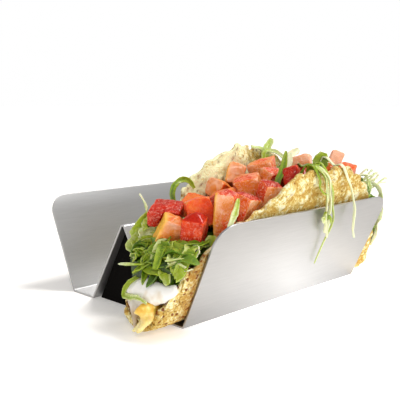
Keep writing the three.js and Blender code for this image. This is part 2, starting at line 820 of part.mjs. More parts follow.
/** Shreds of cheese that stick out of the two ends of the bed and droop. */
function cheeseShreds(grown = 0) {
  const sizes = [
    { x: 0, z: 3.6 },
    { x: 0.7, z: 3.2 },
    { x: 1, z: 1.6 },
  ];
  return [
    [[-58, -4, 8], [-63, -5, 10.6], [-66.6, -3.4, 10.4], [-67.6, -1.4, 8]],
    [[-58, -3, 6], [-63, -5.6, 8], [-66.6, -5, 5.4], [-68, -2.6, 2]],
    [[-57, -1, 5.6], [-62.6, -2.5, 5.8], [-65.6, -1.6, 3.4], [-67.4, 0.6, 1.6]],
    [[53, 1, 6], [57, 2, 8], [61.4, 3, 5.4]],
  ].map((points) => rope(points, sizes, { up: UP, steps: 5, sides: 6, flat: 0.85, grown }));
}

/** Cream that swells out over the spilling end, runs down it, and shows at the far end. */
function creamSpill(grown = 0) {
  const up = vector(-1, 0, 0.5);
  const lip = [
    [-59.6, -13, 17],
    [-61.4, -9, 14.8],
    [-62.2, -3, 14.4],
    [-61.4, 2.6, 14.6],
    [-58.6, 6.4, 15],
  ];
  const lipSizes = [
    { x: 0, z: 3.4 },
    { x: 0.3, z: 7.6 },
    { x: 0.65, z: 8 },
    { x: 1, z: 4 },
  ];
  const run = [[-58, 3, 12], [-62.4, 3.6, 10.2], [-64.6, 2.6, 7.8], [-65.4, 1.4, 4.6], [-66, 0.4, 1.6]];
  const runSizes = [
    { x: 0, z: 6 },
    { x: 0.5, z: 4 },
    { x: 1, z: 2 },
  ];
  const farSizes = [
    { x: 0, z: 4 },
    { x: 0.5, z: 7.6 },
    { x: 1, z: 4 },
  ];
  const shape = { up, flat: 0.72, grown };
  return [
    rope(lip, lipSizes, { ...shape, steps: 8, sides: 9 }),
    rope(run, runSizes, { ...shape, steps: 6, sides: 7 }),
    rope([[57, -7, 12], [58, 0, 11], [57, 7, 12]], farSizes, { ...shape, steps: 5, sides: 7 }),
  ];
}

// ---------- putting it together ----------

const join = (solids) => solids.reduce((whole, solid) => whole.add(solid));
const cut = (solid, others) => others.reduce((left, other) => left.subtract(other), solid);

/** The room that a layer takes up, with air over it and past its two ends. */
const layerSpace = (bottom, topWithAir) =>
  join(
    [-GAP, 0, GAP].map((dx) => layerSolid(bottom, topWithAir).translate([dx, 0, 0])),
  );

/** A layer with the pieces that stick out of it: only those are cut clear of the layer below. */
function heap(layer, pieces, below, around) {
  const clear = pieces.map((piece) => cut(piece, below));
  return largest(cut(join([layer, ...clear]), around));
}

const holder = holderSolid();
const shell = shellSolid();
const walls = [holderSolid(GAP), shellSolid(GAP)];

const cheese = heap(layerSolid(null, cheeseTop), cheeseShreds(), [], walls);
const cheeseBed = layerSpace(null, creamBottom);

const cream = heap(layerSolid(creamBottom, creamTop), creamSpill(), [cheeseBed], [
  ...walls,
  ...cheeseShreds(GAP),
]);
const creamBed = layerSpace(creamBottom, lettuceBottom);

const diceSpaces = [];
const dice = DICE.map((die, i) => {
  const piece = largest(cut(diceSolid(die, i + 1), [...walls, ...diceSpaces]));
  diceSpaces.push(diceSolid(die, i + 1, GAP));
  return piece;
});

const lettuce = heap(
  layerSolid(lettuceBottom, lettuceTop, { from: LETTUCE_FROM }),
  [...scatteredShreds(), ...hangingShreds(), ...spillingShreds(), ...topShreds(), ...farShreds()],
  [creamBed, cheeseBed],
  [...walls, ...diceSpaces, ...creamSpill(GAP), ...cheeseShreds(GAP)],
);

const finish = (color, roughness, metalness = 0) =>
  new THREE.MeshStandardMaterial({ color, roughness, metalness, flatShading: true });
const STEEL = finish(0xc9c8c6, 0.35, 1);
const TORTILLA = finish(0xe3c378, 0.75);
const CHEESE = finish(0xf0b93c, 0.5);
const CREAM = finish(0xf8f5ee, 0.35);
const LETTUCE = finish(0x86a53a, 0.55);
const TOMATO = finish(0xd8482f, 0.3);

const taco = new THREE.Group();
taco.name = "taco_in_holder";

/** Adds a solid to the taco as a named mesh. */
function addNode(name, solid, material) {
  const mesh = new THREE.Mesh(geometryOf(solid), material);
  mesh.name = name;
  taco.add(mesh);
}

addNode("holder", holder, STEEL);
addNode("shell", shell, TORTILLA);
addNode("cheese", cheese, CHEESE);
addNode("sour_cream", cream, CREAM);
addNode("lettuce", lettuce, LETTUCE);
dice.forEach((solid, i) =>
  addNode(`tomato_${String(i + 1).padStart(2, "0")}`, solid, TOMATO),
);

export default taco;
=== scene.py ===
"""Visible surfaces of a filled hard-shell taco standing in a folded steel taco holder.

Sizes are given in millimetres and meshes are made in metres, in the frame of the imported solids: +X runs
along the fold of the taco, from the end where the filling spills out, +Y from the outer plate of the holder
towards its middle ridge, and +Z up.
"""

import logging
import math
from collections.abc import Callable
from dataclasses import dataclass, field
from enum import Enum

import bpy
import numpy as np
from mathutils import Euler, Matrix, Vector


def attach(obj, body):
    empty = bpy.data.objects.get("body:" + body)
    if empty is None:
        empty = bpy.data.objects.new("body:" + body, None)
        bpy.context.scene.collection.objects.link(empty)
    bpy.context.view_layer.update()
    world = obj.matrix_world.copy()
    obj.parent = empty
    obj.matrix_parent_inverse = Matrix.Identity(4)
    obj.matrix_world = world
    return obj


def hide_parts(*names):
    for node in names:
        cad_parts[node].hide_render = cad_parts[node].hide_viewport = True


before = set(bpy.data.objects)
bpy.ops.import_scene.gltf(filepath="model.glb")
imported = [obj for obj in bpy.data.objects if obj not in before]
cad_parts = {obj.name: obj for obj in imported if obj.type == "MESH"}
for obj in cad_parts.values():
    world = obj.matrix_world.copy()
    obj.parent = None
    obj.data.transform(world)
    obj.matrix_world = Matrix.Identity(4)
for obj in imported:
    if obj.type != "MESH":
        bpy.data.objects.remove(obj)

log = logging.getLogger("taco")

MM = 0.001
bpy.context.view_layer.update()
Triple = tuple[float, float, float]


# ---------- numbers ----------


CELL_WEIGHTS = np.array([12.9898, 78.233, 37.719])  # any three unlike numbers
CELL_SPREAD = 43758.5453  # large, so that cells side by side get unlike numbers


def smooth(t: np.ndarray | float) -> np.ndarray:
    """Rises from 0 to 1 as t does, level at both ends."""
    t = np.clip(t, 0.0, 1.0)
    return t * t * (3.0 - 2.0 * t)


def rise(values: np.ndarray | float, start: float, over: float) -> np.ndarray:
    """0 for values up to a start, rising smoothly to 1 over a length past it."""
    return smooth((values - start) / over)


def lerp(a: float, b: float, t: float) -> float:
    """Value a share t of the way from a to b."""
    return a + (b - a) * t


def lumps(u: np.ndarray, v: np.ndarray, size: float) -> np.ndarray:
    """Soft lumps over a surface, between -1 and 1.

    Args:
        u: Place along the surface, in mm.
        v: Place across it, in mm.
        size: How far apart the lumps are, in mm.

    Returns:
        The height of the lumps at each place.
    """
    k = 2.0 * math.pi / size
    first = np.sin(k * u + 1.3 * np.sin(k * 0.6 * v))
    second = np.sin(k * 0.9 * v + 0.7 + 1.1 * np.sin(k * 0.7 * u + 2.0))
    return 0.5 * first + 0.5 * second


def chance(cells: np.ndarray, seed: float) -> np.ndarray:
    """A repeatable number from 0 to 1 for each whole-numbered cell, given one a row."""
    mixed = np.sin(cells @ CELL_WEIGHTS[: cells.shape[-1]] + seed) * CELL_SPREAD
    return mixed - np.floor(mixed)


def uneven(places: np.ndarray, size: float, seed: float = 0.0) -> np.ndarray:
    """Smooth random heights between -1 and 1.

    Args:
        places: Points in mm, one a row.
        size: How far apart the bumps are, in mm.
        seed: Picks another pattern.

    Returns:
        The height at each point.
    """
    scaled = np.asarray(places, float) / size
    cells = np.floor(scaled)
    part = smooth(scaled - cells)
    total = np.zeros(len(scaled))
    for corner in np.ndindex(*(2,) * scaled.shape[1]):
        share = np.prod(np.where(np.array(corner) == 1, part, 1.0 - part), axis=1)
        total += share * (2.0 * chance(cells + corner, seed) - 1.0)
    return total


def spots(places: np.ndarray, spacing: float, seed: float) -> tuple[np.ndarray, np.ndarray]:
    """The nearest of many points scattered over a flat sheet.

    Args:
        places: Points of the sheet in mm, two numbers a row.
        spacing: How far apart the scattered points are, in mm.
        seed: Picks another scatter.

    Returns:
        How far the nearest one is, as a share of the spacing, and its own number from 0 to 1.
    """
    scaled = np.asarray(places, float) / spacing
    cells = np.floor(scaled)
    nearest = np.full(len(scaled), np.inf)
    own = np.zeros(len(scaled))
    for shift in np.ndindex(3, 3):
        cell = cells + shift - 1.0
        centre = cell + np.column_stack([chance(cell, seed), chance(cell, seed + 3.7)])
        distance = np.linalg.norm(centre - scaled, axis=1)
        closer = distance < nearest
        nearest = np.where(closer, distance, nearest)
        own = np.where(closer, chance(cell, seed + 8.1), own)
    return nearest, own


class Draws:
    """Repeatable numbers between 0 and 1, from a seed."""

    WORD = 0xFFFFFFFF
    STRIDE = 0x6D2B79F5  # an odd number that mixes the bits of the state well

    def __init__(self, seed: int) -> None:
        """Starts the stream at a seed."""
        self.state = seed & self.WORD

    def one(self) -> float:
        """The next number.

        Returns:
            The number, from 0 to 1.
        """
        self.state = (self.state + self.STRIDE) & self.WORD
        t = ((self.state ^ (self.state >> 15)) * (1 | self.state)) & self.WORD
        t = ((t + (((t ^ (t >> 7)) * (61 | t)) & self.WORD)) ^ t) & self.WORD
        return ((t ^ (t >> 14)) & self.WORD) / (self.WORD + 1)

    def between(self, a: float, b: float) -> float:
        """The next number, from a to b."""
        return lerp(a, b, self.one())

    def pair(self, a: float, b: float) -> list[float]:
        """The next two numbers, each from a to b."""
        return [self.between(a, b) for _ in range(2)]


def curve_points(points: list[Triple], count: int) -> np.ndarray:
    """Points on the smooth curve through given points.

    Args:
        points: What the curve passes through, in mm.
        count: How many points to return.

    Returns:
        An array of count points, from the first given point to the last.
    """
    given = np.array(points, float)
    padded = np.vstack([2 * given[0] - given[1], given, 2 * given[-1] - given[-2]])
    spans = len(given) - 1
    result = []
    for t in np.linspace(0.0, spans, count):
        k = min(int(t), spans - 1)
        w = t - k
        p0, p1, p2, p3 = padded[k : k + 4]
        d0, d1, d2 = (
            max(float(np.linalg.norm(b - a)) ** 0.5, 1e-4) for a, b in ((p0, p1), (p1, p2), (p2, p3))
        )
        m1 = ((p1 - p0) / d0 - (p2 - p0) / (d0 + d1) + (p2 - p1) / d1) * d1
        m2 = ((p2 - p1) / d1 - (p3 - p1) / (d1 + d2) + (p3 - p2) / d2) * d1
        a3 = 2 * p1 - 2 * p2 + m1 + m2
        a2 = -3 * p1 + 3 * p2 - 2 * m1 - m2
        result.append(p1 + m1 * w + a2 * w**2 + a3 * w**3)
    return np.array(result)


# ---------- meshes and tools ----------


def alone(piece: bpy.types.Object) -> None:
    """Selects one object and nothing else, and makes it the active one.

    Args:
        piece: The object.
    """
    if bpy.context.object and bpy.context.object.mode != "OBJECT":
        bpy.ops.object.mode_set(mode="OBJECT")
    bpy.ops.object.select_all(action="DESELECT")
    piece.select_set(True)
    bpy.context.view_layer.objects.active = piece


def edit_all(piece: bpy.types.Object, operator: Callable, **settings) -> None:
    """Runs an edit-mode operator on the whole of a mesh object.

    Args:
        piece: The object.
        operator: One of bpy.ops.mesh.
        settings: What the operator is told.
    """
    alone(piece)
    bpy.ops.object.mode_set(mode="EDIT")
    bpy.ops.mesh.select_all(action="SELECT")
    operator(**settings)
    bpy.ops.object.mode_set(mode="OBJECT")


def added(operator: Callable, name: str, **settings) -> bpy.types.Object:
    """A new named object from an operator that adds one.

    Args:
        operator: The operator.
        name: The object's name.
        settings: What the operator is told.

    Returns:
        The new object, which is alone in being selected.
    """
    bpy.ops.object.select_all(action="DESELECT")
    operator(**settings)
    bpy.context.object.name = name
    return bpy.context.object


def made_piece(name: str, points: np.ndarray, faces: list) -> bpy.types.Object:
    """A mesh object from points in mm.

    Args:
        name: The object's name.
        points: One row for each vertex, in mm.
        faces: Tuples of vertex numbers.

    Returns:
        The new object, at the origin.
    """
    mesh = bpy.data.meshes.new(name)
    mesh.from_pydata((np.asarray(points) * MM).tolist(), [], faces)
    piece = bpy.data.objects.new(name, mesh)
    bpy.context.scene.collection.objects.link(piece)
    return piece


def copy_of_solid(name: str, node: str) -> bpy.types.Object:
    """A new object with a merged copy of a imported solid's mesh.

    Args:
        name: The new object's name.
        node: The solid's name.

    Returns:
        The new object, without a material.
    """
    piece = bpy.data.objects.new(name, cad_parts[node].data.copy())
    bpy.context.scene.collection.objects.link(piece)
    piece.data.materials.clear()
    edit_all(piece, bpy.ops.mesh.remove_doubles, threshold=0.002 * MM)
    return piece


def with_modifier(piece: bpy.types.Object, kind: str, **settings) -> None:
    """Adds a modifier to an object and applies it.

    Args:
        piece: The object.
        kind: The modifier's type.
        settings: The modifier's properties.
    """
    alone(piece)
    modifier = piece.modifiers.new(kind.lower(), kind)
    for key, value in settings.items():
        setattr(modifier, key, value)
    bpy.ops.object.modifier_apply(modifier=modifier.name)


def vertex_rows(piece: bpy.types.Object, what: str) -> np.ndarray:
    """A property of every vertex of a mesh object, three numbers a row.

    Args:
        piece: The object.
        what: The property's name.

    Returns:
        One row for each vertex.
    """
    rows = np.empty(len(piece.data.vertices) * 3)
    piece.data.vertices.foreach_get(what, rows)
    return rows.reshape(-1, 3)


def vertex_places(piece: bpy.types.Object) -> np.ndarray:
    """Every vertex of a mesh object, in mm."""
    return vertex_rows(piece, "co") / MM


def vertex_normals(piece: bpy.types.Object) -> np.ndarray:
    """The outward direction at every vertex of a mesh object."""
    return vertex_rows(piece, "normal")


def put_vertices(piece: bpy.types.Object, places: np.ndarray) -> None:
    """Moves every vertex of a mesh object to places in mm."""
    piece.data.vertices.foreach_set("co", (places * MM).ravel())
    piece.data.update()


def raise_surface(piece: bpy.types.Object, height: np.ndarray | float) -> None:
    """Moves every vertex of a mesh object outwards by a height in mm."""
    put_vertices(piece, vertex_places(piece) + vertex_normals(piece) * np.reshape(height, (-1, 1)))


def write_values(piece: bpy.types.Object, name: str, values: np.ndarray) -> None:
    """Stores one number for each vertex, which materials read by name."""
    attribute = piece.data.attributes.get(name) or piece.data.attributes.new(name, "FLOAT", "POINT")
    attribute.data.foreach_set("value", np.asarray(values, np.float32))


def stored_values(piece: bpy.types.Object, name: str) -> np.ndarray:
    """The numbers stored on the vertices under a name.

    Args:
        piece: The object.
        name: The name that they were stored under.

    Returns:
        One number for each vertex.
    """
    values = np.empty(len(piece.data.vertices), np.float32)
    piece.data.attributes[name].data.foreach_get("value", values)
    return values


def loft(rings: list[np.ndarray]) -> tuple[np.ndarray, list]:
    """A closed skin over rings of points, with a fan over each end.

    Args:
        rings: The rings, each with as many points as the others.

    Returns:
        The skin's points and its faces.
    """
    count = len(rings[0])
    points = [*np.concatenate(rings)]
    faces = []
    for i in range(len(rings) - 1):
        for j in range(count):
            a, b = i * count + j, i * count + (j + 1) % count
            faces.append((a, b, b + count, a + count))
    for ring, turned in ((0, True), (len(rings) - 1, False)):
        centre = len(points)
        points.append(np.mean(rings[ring], axis=0))
        for j in range(count):
            a, b = ring * count + j, ring * count + (j + 1) % count
            faces.append((b, a, centre) if turned else (a, b, centre))
    return np.array(points), faces


def handed_over(
    piece: bpy.types.Object, material: bpy.types.Material, nodes: list[str]
) -> bpy.types.Object:
    """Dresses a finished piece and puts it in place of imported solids.

    Args:
        piece: The finished mesh object.
        material: Its finish.
        nodes: Names of the solids it stands for.

    Returns:
        The piece.
    """
    piece.data.materials.clear()
    piece.data.materials.append(material)
    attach(piece, "root")
    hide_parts(*nodes)
    return piece


# ---------- finishes ----------


FIRST, SECOND, MIXED = 6, 7, 2  # a Mix node's two colour inputs and its colour output


def linear(code: str) -> tuple[float, float, float, float]:
    """An sRGB hex colour as linear red, green, blue and alpha."""
    parts = [int(code[i : i + 2], 16) / 255.0 for i in (1, 3, 5)]
    return (*(c / 12.92 if c <= 0.04045 else ((c + 0.055) / 1.055) ** 2.4 for c in parts), 1.0)


def scale(size: float) -> float:
    """A pattern's scale, from the size in mm of what repeats in it."""
    return 1 / (size * MM)


def feed(node: bpy.types.Node, inputs: dict) -> None:
    """Sets and links a node's inputs.

    Args:
        node: The node.
        inputs: Sockets by name or number, each with a value, a hex colour or another node's output.
    """
    for key, value in inputs.items():
        socket = node.inputs[key]
        if isinstance(value, bpy.types.NodeSocket):
            node.id_data.links.new(value, socket)
        else:
            socket.default_value = linear(value) if isinstance(value, str) else value


def add(
    tree: bpy.types.NodeTree, kind: str, inputs: dict, output: str | int = 0, **settings
) -> bpy.types.NodeSocket:
    """Adds a shader node with its settings and links.

    Args:
        tree: Where the node goes.
        kind: Its type, without the ShaderNode in front.
        inputs: Its sockets and what they get, as feed takes them.
        output: The output to return, by name or number.
        settings: Its properties. The one called stops is a ramp's list of places and hex colours.

    Returns:
        The new node's output.
    """
    node = tree.nodes.new("ShaderNode" + kind)
    stops = settings.pop("stops", [])
    while stops and len(node.color_ramp.elements) < len(stops):
        node.color_ramp.elements.new(0.5)
    for number, (place, code) in enumerate(stops):
        node.color_ramp.elements[number].position = place
        node.color_ramp.elements[number].color = linear(code)
    for key, value in settings.items():
        setattr(node, key, value)
    feed(node, inputs)
    return node.outputs[output]


def new_finish(name: str, inputs: dict) -> tuple[bpy.types.Material, bpy.types.NodeTree, bpy.types.Node]:
    """A new material.

    Args:
        name: The material's name.
        inputs: Its shader's even values, by socket.

    Returns:
        The material, its tree and its shader.
    """
    material = bpy.data.materials.new(name)
    material.use_nodes = True
    shader = material.node_tree.nodes["Principled BSDF"]
    feed(shader, inputs)
    return material, material.node_tree, shader


@dataclass(frozen=True)
class SatinSteel:
    """Stainless steel sheet, brushed to a fine satin: a grey metal whose reflections are wide and soft."""

    colour: str = "#b0afae"
    mark_colour: str = "#aaa9a8"
    roughness: float = 0.42
    cloudiness: float = 0.05  # how much duller or glossier its clouds are
    cloud: float = 30.0  # mm across a cloud
    mark: float = 0.35  # mm between brushing marks, coarser than real ones so that they show
    drawn_out: float = 0.04  # the marks run along the slots, so their pattern is stretched along X

    def build(self) -> bpy.types.Material:
        """Makes the material.

        Returns:
            The material.
        """
        material, tree, shader = new_finish("satin_stainless_steel", {"Metallic": 1.0})
        place = add(tree, "TexCoord", {}, "Object")
        drawn = add(tree, "Mapping", {"Vector": place, "Scale": (self.drawn_out, 1.0, 1.0)})
        marks = add(tree, "TexNoise", {"Vector": drawn, "Scale": scale(self.mark), "Detail": 3.0})
        colour = add(tree, "ValToRGB", {"Fac": marks}, stops=[(0.3, self.mark_colour), (0.7, self.colour)])
        clouds = add(tree, "TexNoise", {"Vector": place, "Scale": scale(self.cloud), "Detail": 2.0})
        least, most = self.roughness - self.cloudiness, self.roughness + self.cloudiness
        gloss = add(tree, "MapRange", {"Value": clouds, "To Min": least, "To Max": most})
        bump = add(tree, "Bump", {"Height": marks, "Strength": 0.04, "Distance": 0.01 * MM})
        feed(shader, {"Base Color": colour, "Roughness": gloss, "Normal": bump})
        return material


@dataclass(frozen=True)
class FriedTortilla:
    """Corn tortilla fried hard: matt and crumbly, with pale blisters, gold hollows and brown specks. The
    blisters' paleness and the hollows' gold are partly painted highlight and shade.
    """

    hollow_and_painted_shade: str = "#bd9244"
    gold: str = "#c8a24e"
    pale: str = "#dfca80"
    blister_and_painted_highlight: str = "#f4ecc2"
    # Also the colour of the painted shade close to the plate.
    toasted: str = "#7c3c0c"
    masa: str = "#eef6c2"
    patch: float = 10.0  # mm across a patch of deeper frying
    dot_spacing: float = 2.2  # mm between dots of spat fat
    crumb: float = 0.8  # mm across the crumbs of the masa

    def build(self) -> bpy.types.Material:
        """Makes the material.

        Returns:
            The material.
        """
        even = {
            "Roughness": 0.75,
            "Specular IOR Level": 0.2,
            "Subsurface Weight": 0.05,
            "Subsurface Scale": MM,
            "Subsurface Radius": (1.0, 0.7, 0.3),
        }
        material, tree, shader = new_finish("fried_corn_tortilla", even)
        place = add(tree, "TexCoord", {}, "Object")
        crumbs = add(tree, "TexNoise", {"Vector": place, "Scale": scale(self.crumb), "Detail": 3.0})
        crust = self.crust(tree, place, crumbs)
        toast = self.toast(tree, place)
        browned_and_painted_shade = add(tree, "Mix", {0: toast, FIRST: crust, SECOND: self.toasted}, MIXED, data_type="RGBA")
        bump = add(tree, "Bump", {"Height": crumbs, "Strength": 0.9, "Distance": 0.5 * MM})
        feed(shader, {"Base Color": browned_and_painted_shade, "Normal": bump})
        return material

    def crust(
        self, tree: bpy.types.NodeTree, place: bpy.types.NodeSocket, crumbs: bpy.types.NodeSocket
    ) -> bpy.types.NodeSocket:
        """Colour of the crust, from its gold hollows to its pale blisters, which are partly painted shade and
        highlight.

        Args:
            tree: The material's tree.
            place: Where on the shell it is.
            crumbs: The pattern of its crumbs.

        Returns:
            The colour.
        """
        patches = add(tree, "TexNoise", {"Vector": place, "Scale": scale(self.patch), "Detail": 3.0})
        raised_and_painted_light = add(tree, "Attribute", {}, "Fac", attribute_name="raised_and_painted_light")
        broad = add(tree, "Math", {0: patches, 1: 0.5, 2: raised_and_painted_light}, operation="MULTIPLY_ADD")
        mixed = add(tree, "Math", {0: crumbs, 1: 1.5, 2: broad}, operation="MULTIPLY_ADD")
        above = add(tree, "Math", {0: mixed, 1: 0.75}, operation="SUBTRACT")
        # Hollows are darker gold and blisters paler: partly their own colour, partly painted shade and
        # highlight.
        stops = [(0.1, self.hollow_and_painted_shade), (0.28, self.gold), (0.5, self.pale), (0.72, self.blister_and_painted_highlight)]
        fried = add(tree, "ValToRGB", {"Fac": above}, stops=stops)
        # Where it is fried least, its lemon-coloured masa shows, most on the crumbs that stand out.
        least = add(tree, "Attribute", {}, "Fac", attribute_name="masa")
        ends = {"From Min": 0.38, "From Max": 0.6, "To Min": 0.35, "To Max": 1.25}
        grains = add(tree, "MapRange", {"Value": crumbs, **ends})
        shown = add(tree, "Math", {0: least, 1: grains}, operation="MULTIPLY")
        return add(tree, "Mix", {0: shown, FIRST: fried, SECOND: self.masa}, MIXED, data_type="RGBA")

    def toast(self, tree: bpy.types.NodeTree, place: bpy.types.NodeSocket) -> bpy.types.NodeSocket:
        """How toasted it is: its specks, the dots that fat has spat onto the end lowest in the pan, and
        painted shade close to the plate.

        Args:
            tree: The material's tree.
            place: Where on the shell it is.

        Returns:
            From 0 to 1, how toasted, with that painted shade.
        """
        specks = add(tree, "Attribute", {}, "Fac", attribute_name="toast")
        gap = add(tree, "TexVoronoi", {"Vector": place, "Scale": scale(self.dot_spacing)})
        dots = add(tree, "MapRange", {"Value": gap, "From Min": 0.33, "From Max": 0.22, "To Max": 0.95})
        spattered = add(tree, "Attribute", {}, "Fac", attribute_name="spattered")
        spat = add(tree, "Math", {0: dots, 1: spattered}, operation="MULTIPLY")
        return add(tree, "Math", {0: specks, 1: spat}, operation="MAXIMUM")


@dataclass(frozen=True)
class CutTomato:
    """Ripe tomato cut in dice: wet, slightly clear flesh, deep red to pale orange, with light fibres."""

    deep: str = "#860e04"
    red: str = "#be2208"
    bright: str = "#e04e1c"
    orange: str = "#e28436"
    pale: str = "#f0b692"
    fibre_colour: str = "#f8c8b0"
    skin_colour: str = "#f2b634"
    cloud: float = 2.6  # mm across a cloud of lighter flesh
    fibre: float = 1.3  # mm between the pale fibres of the flesh

    def build(self) -> bpy.types.Material:
        """Makes the material.

        Returns:
            The material.
        """
        even = {
            "Specular IOR Level": 0.06,
            "Coat Weight": 0.2,
            "Coat Roughness": 0.08,
            "Subsurface Weight": 0.2,
            "Subsurface Scale": 1.2 * MM,
            "Subsurface Radius": (1.0, 0.3, 0.15),
        }
        material, tree, shader = new_finish("cut_tomato", even)
        place = add(tree, "TexCoord", {}, "Object")
        clouds = {"Vector": place, "Scale": scale(self.cloud), "Detail": 3.0, "Distortion": 0.6}
        cloud = add(tree, "TexNoise", clouds)
        tone = add(tree, "Attribute", {}, "Fac", attribute_name="tone")
        clouded = add(tree, "Math", {0: cloud, 1: 0.4, 2: tone}, operation="MULTIPLY_ADD")
        reds = [(0.2, self.deep), (0.42, self.red), (0.62, self.bright)]
        pales = [(0.78, self.orange), (0.95, self.pale)]
        flesh = add(tree, "ValToRGB", {"Fac": clouded}, stops=reds + pales)
        threads = {"Vector": place, "Scale": scale(self.fibre), "Detail": 3.0, "Distortion": 2.0}
        fibres = add(tree, "TexNoise", threads)
        veins = add(tree, "MapRange", {"Value": fibres, "From Min": 0.48, "From Max": 0.7, "To Max": 0.55})
        fleshy = add(tree, "Attribute", {}, "Fac", attribute_name="flesh")
        share = add(tree, "Math", {0: veins, 1: fleshy}, operation="MULTIPLY")
        fibrous = {0: share, FIRST: flesh, SECOND: self.fibre_colour}
        fibrous = add(tree, "Mix", fibrous, MIXED, data_type="RGBA")
        # The cut edge of the skin is a thin line of gold.
        skin = add(tree, "Attribute", {}, "Fac", attribute_name="skin")
        colour = {0: skin, FIRST: fibrous, SECOND: self.skin_colour}
        colour = add(tree, "Mix", colour, MIXED, data_type="RGBA")
        # Juice lies on it in patches, so some places are glossier than others.
        wet = {"Value": cloud, "From Min": 0.35, "From Max": 0.65, "To Min": 0.18, "To Max": 0.5}
        bump = add(tree, "Bump", {"Height": fibres, "Strength": 0.55, "Distance": 0.5 * MM})
        feed(shader, {"Base Color": colour, "Roughness": add(tree, "MapRange", wet), "Normal": bump})
        return material


@dataclass(frozen=True)
class ShreddedLeaf:
    """Lettuce cut in shreds: thin leaf that lets light through, from deep green to its white ribs."""

    deep: str = "#203406"
    green: str = "#567610"
    bright: str = "#a0b02e"
    rib: str = "#e2e4bc"
    vein: float = 1.1  # mm between veins

    def build(self) -> bpy.types.Material:
        """Makes the material.

        Returns:
            The material.
        """
        even = {
            "Roughness": 0.4,
            "Specular IOR Level": 0.3,
            "Coat Weight": 0.1,
            "Coat Roughness": 0.15,
            "Subsurface Weight": 0.2,
            "Subsurface Scale": 1.2 * MM,
            "Subsurface Radius": (0.5, 1.0, 0.2),
        }
        material, tree, shader = new_finish("shredded_lettuce", even)
        place = add(tree, "TexCoord", {}, "Object")
        net = {"Vector": place, "Scale": scale(self.vein), "Detail": 2.0, "Distortion": 0.8}
        veins = add(tree, "TexNoise", net)
        paleness = add(tree, "Attribute", {}, "Fac", attribute_name="paleness")
        tone = add(tree, "Math", {0: veins, 1: 0.3, 2: paleness}, operation="MULTIPLY_ADD")
        stops = [(0.1, self.deep), (0.4, self.green), (0.7, self.bright), (1.0, self.rib)]
        colour = add(tree, "ValToRGB", {"Fac": tone}, stops=stops)
        bump = add(tree, "Bump", {"Height": veins, "Strength": 0.4, "Distance": 0.3 * MM})
        feed(shader, {"Base Color": colour, "Normal": bump})
        return material


@dataclass(frozen=True)
class SoftFood:
    """A soft food that flowed: clouded, and another colour low down: where cheese has thinned, and painted
    shade on cream.
    """

    name: str
    even: dict  # its shader's even values
    stops: list  # its colours, through its clouds
    low_tint_and_painted_shade: str
    low_from: float  # mm above the table at which that colour starts
    low_at: float  # mm above the table at which it is strongest
    low_share: float
    cloud: float  # mm across a cloud
    detail: float
    bump: float
    bump_height: float

    def build(self) -> bpy.types.Material:
        """Makes the material.

        Returns:
            The material.
        """
        material, tree, shader = new_finish(self.name, self.even)
        place = add(tree, "TexCoord", {}, "Object")
        cloud = add(tree, "TexNoise", {"Vector": place, "Scale": scale(self.cloud), "Detail": self.detail})
        colour = add(tree, "ValToRGB", {"Fac": cloud}, stops=self.stops)
        height = add(tree, "SeparateXYZ", {0: place}, "Z")
        ends = {"From Min": self.low_from * MM, "From Max": self.low_at * MM, "To Max": self.low_share}
        low = add(tree, "MapRange", {"Value": height, **ends})
        colour = {0: low, FIRST: colour, SECOND: self.low_tint_and_painted_shade}
        colour = add(tree, "Mix", colour, MIXED, data_type="RGBA")
        bump = {"Height": cloud, "Strength": self.bump, "Distance": self.bump_height * MM}
        feed(shader, {"Base Color": colour, "Normal": add(tree, "Bump", bump)})
        return material


# Thick sour cream: smooth, white and softly glossy, clouded at random with a warm beige that stands in
# for soft shade, and painted a shaded brown low down, where it runs out over the tortilla.
SOUR_CREAM = SoftFood(
    "sour_cream",
    even={
        "Roughness": 0.32,
        "Subsurface Weight": 0.4,
        "Subsurface Scale": 2.5 * MM,
        "Subsurface Radius": (1.0, 0.96, 0.88),
    },
    stops=[(0.34, "#dccdb4"), (0.54, "#efece6")],
    low_tint_and_painted_shade="#a68c66",
    low_from=12,
    low_at=7,
    low_share=0.8,
    cloud=5.0,
    detail=2.0,
    bump=0.25,
    bump_height=0.6,
)

# Grated cheddar, partly melted: waxy gold, thin and pale where it has run down to the fold.
MELTED_CHEDDAR = SoftFood(
    "melted_cheddar",
    even={
        "Roughness": 0.36,
        "Coat Weight": 0.1,
        "Subsurface Weight": 0.18,
        "Subsurface Scale": 2.0 * MM,
        "Subsurface Radius": (1.0, 0.6, 0.15),
    },
    stops=[(0.34, "#d8a236"), (0.5, "#e8bd48"), (0.68, "#f6e196")],
    low_tint_and_painted_shade="#f0e29c",
    low_from=9,
    low_at=4,
    low_share=0.85,
    cloud=2.2,
    detail=3.0,
    bump=0.4,
    bump_height=0.5,
)


# ---------- forms that the pieces share ----------


CORNERWISE = (-0.7, -0.7, 0.2)  # out between the spilling end and the near wall


class Side(Enum):
    """The two walls of the folded tortilla."""

    NEAR = -1
    FAR = 1


@dataclass(frozen=True)
class Swell:
    """A place where the tortilla's edge stands proud or dips in: degrees round it, width and height in mm."""

    at: float
    width: float
    by: float


@dataclass(frozen=True)
class HolderForm:
    """Sizes of the folded sheet that the taco stands in, in mm and degrees."""

    length: float = 101.6
    sheet: float = 0.8
    floor: float = 13.1
    plate_height: float = 36.9
    plate_lean: float = 24.5
    ridge_height: float = 33.0
    ridge_corner: float = 35.5  # where its two walls would meet, above its round top
    ridge_half_base: float = 19.0
    ridge_top_radius: float = 2.6
    bend_radius: float = 0.9
    corner_radius: float = 8.0


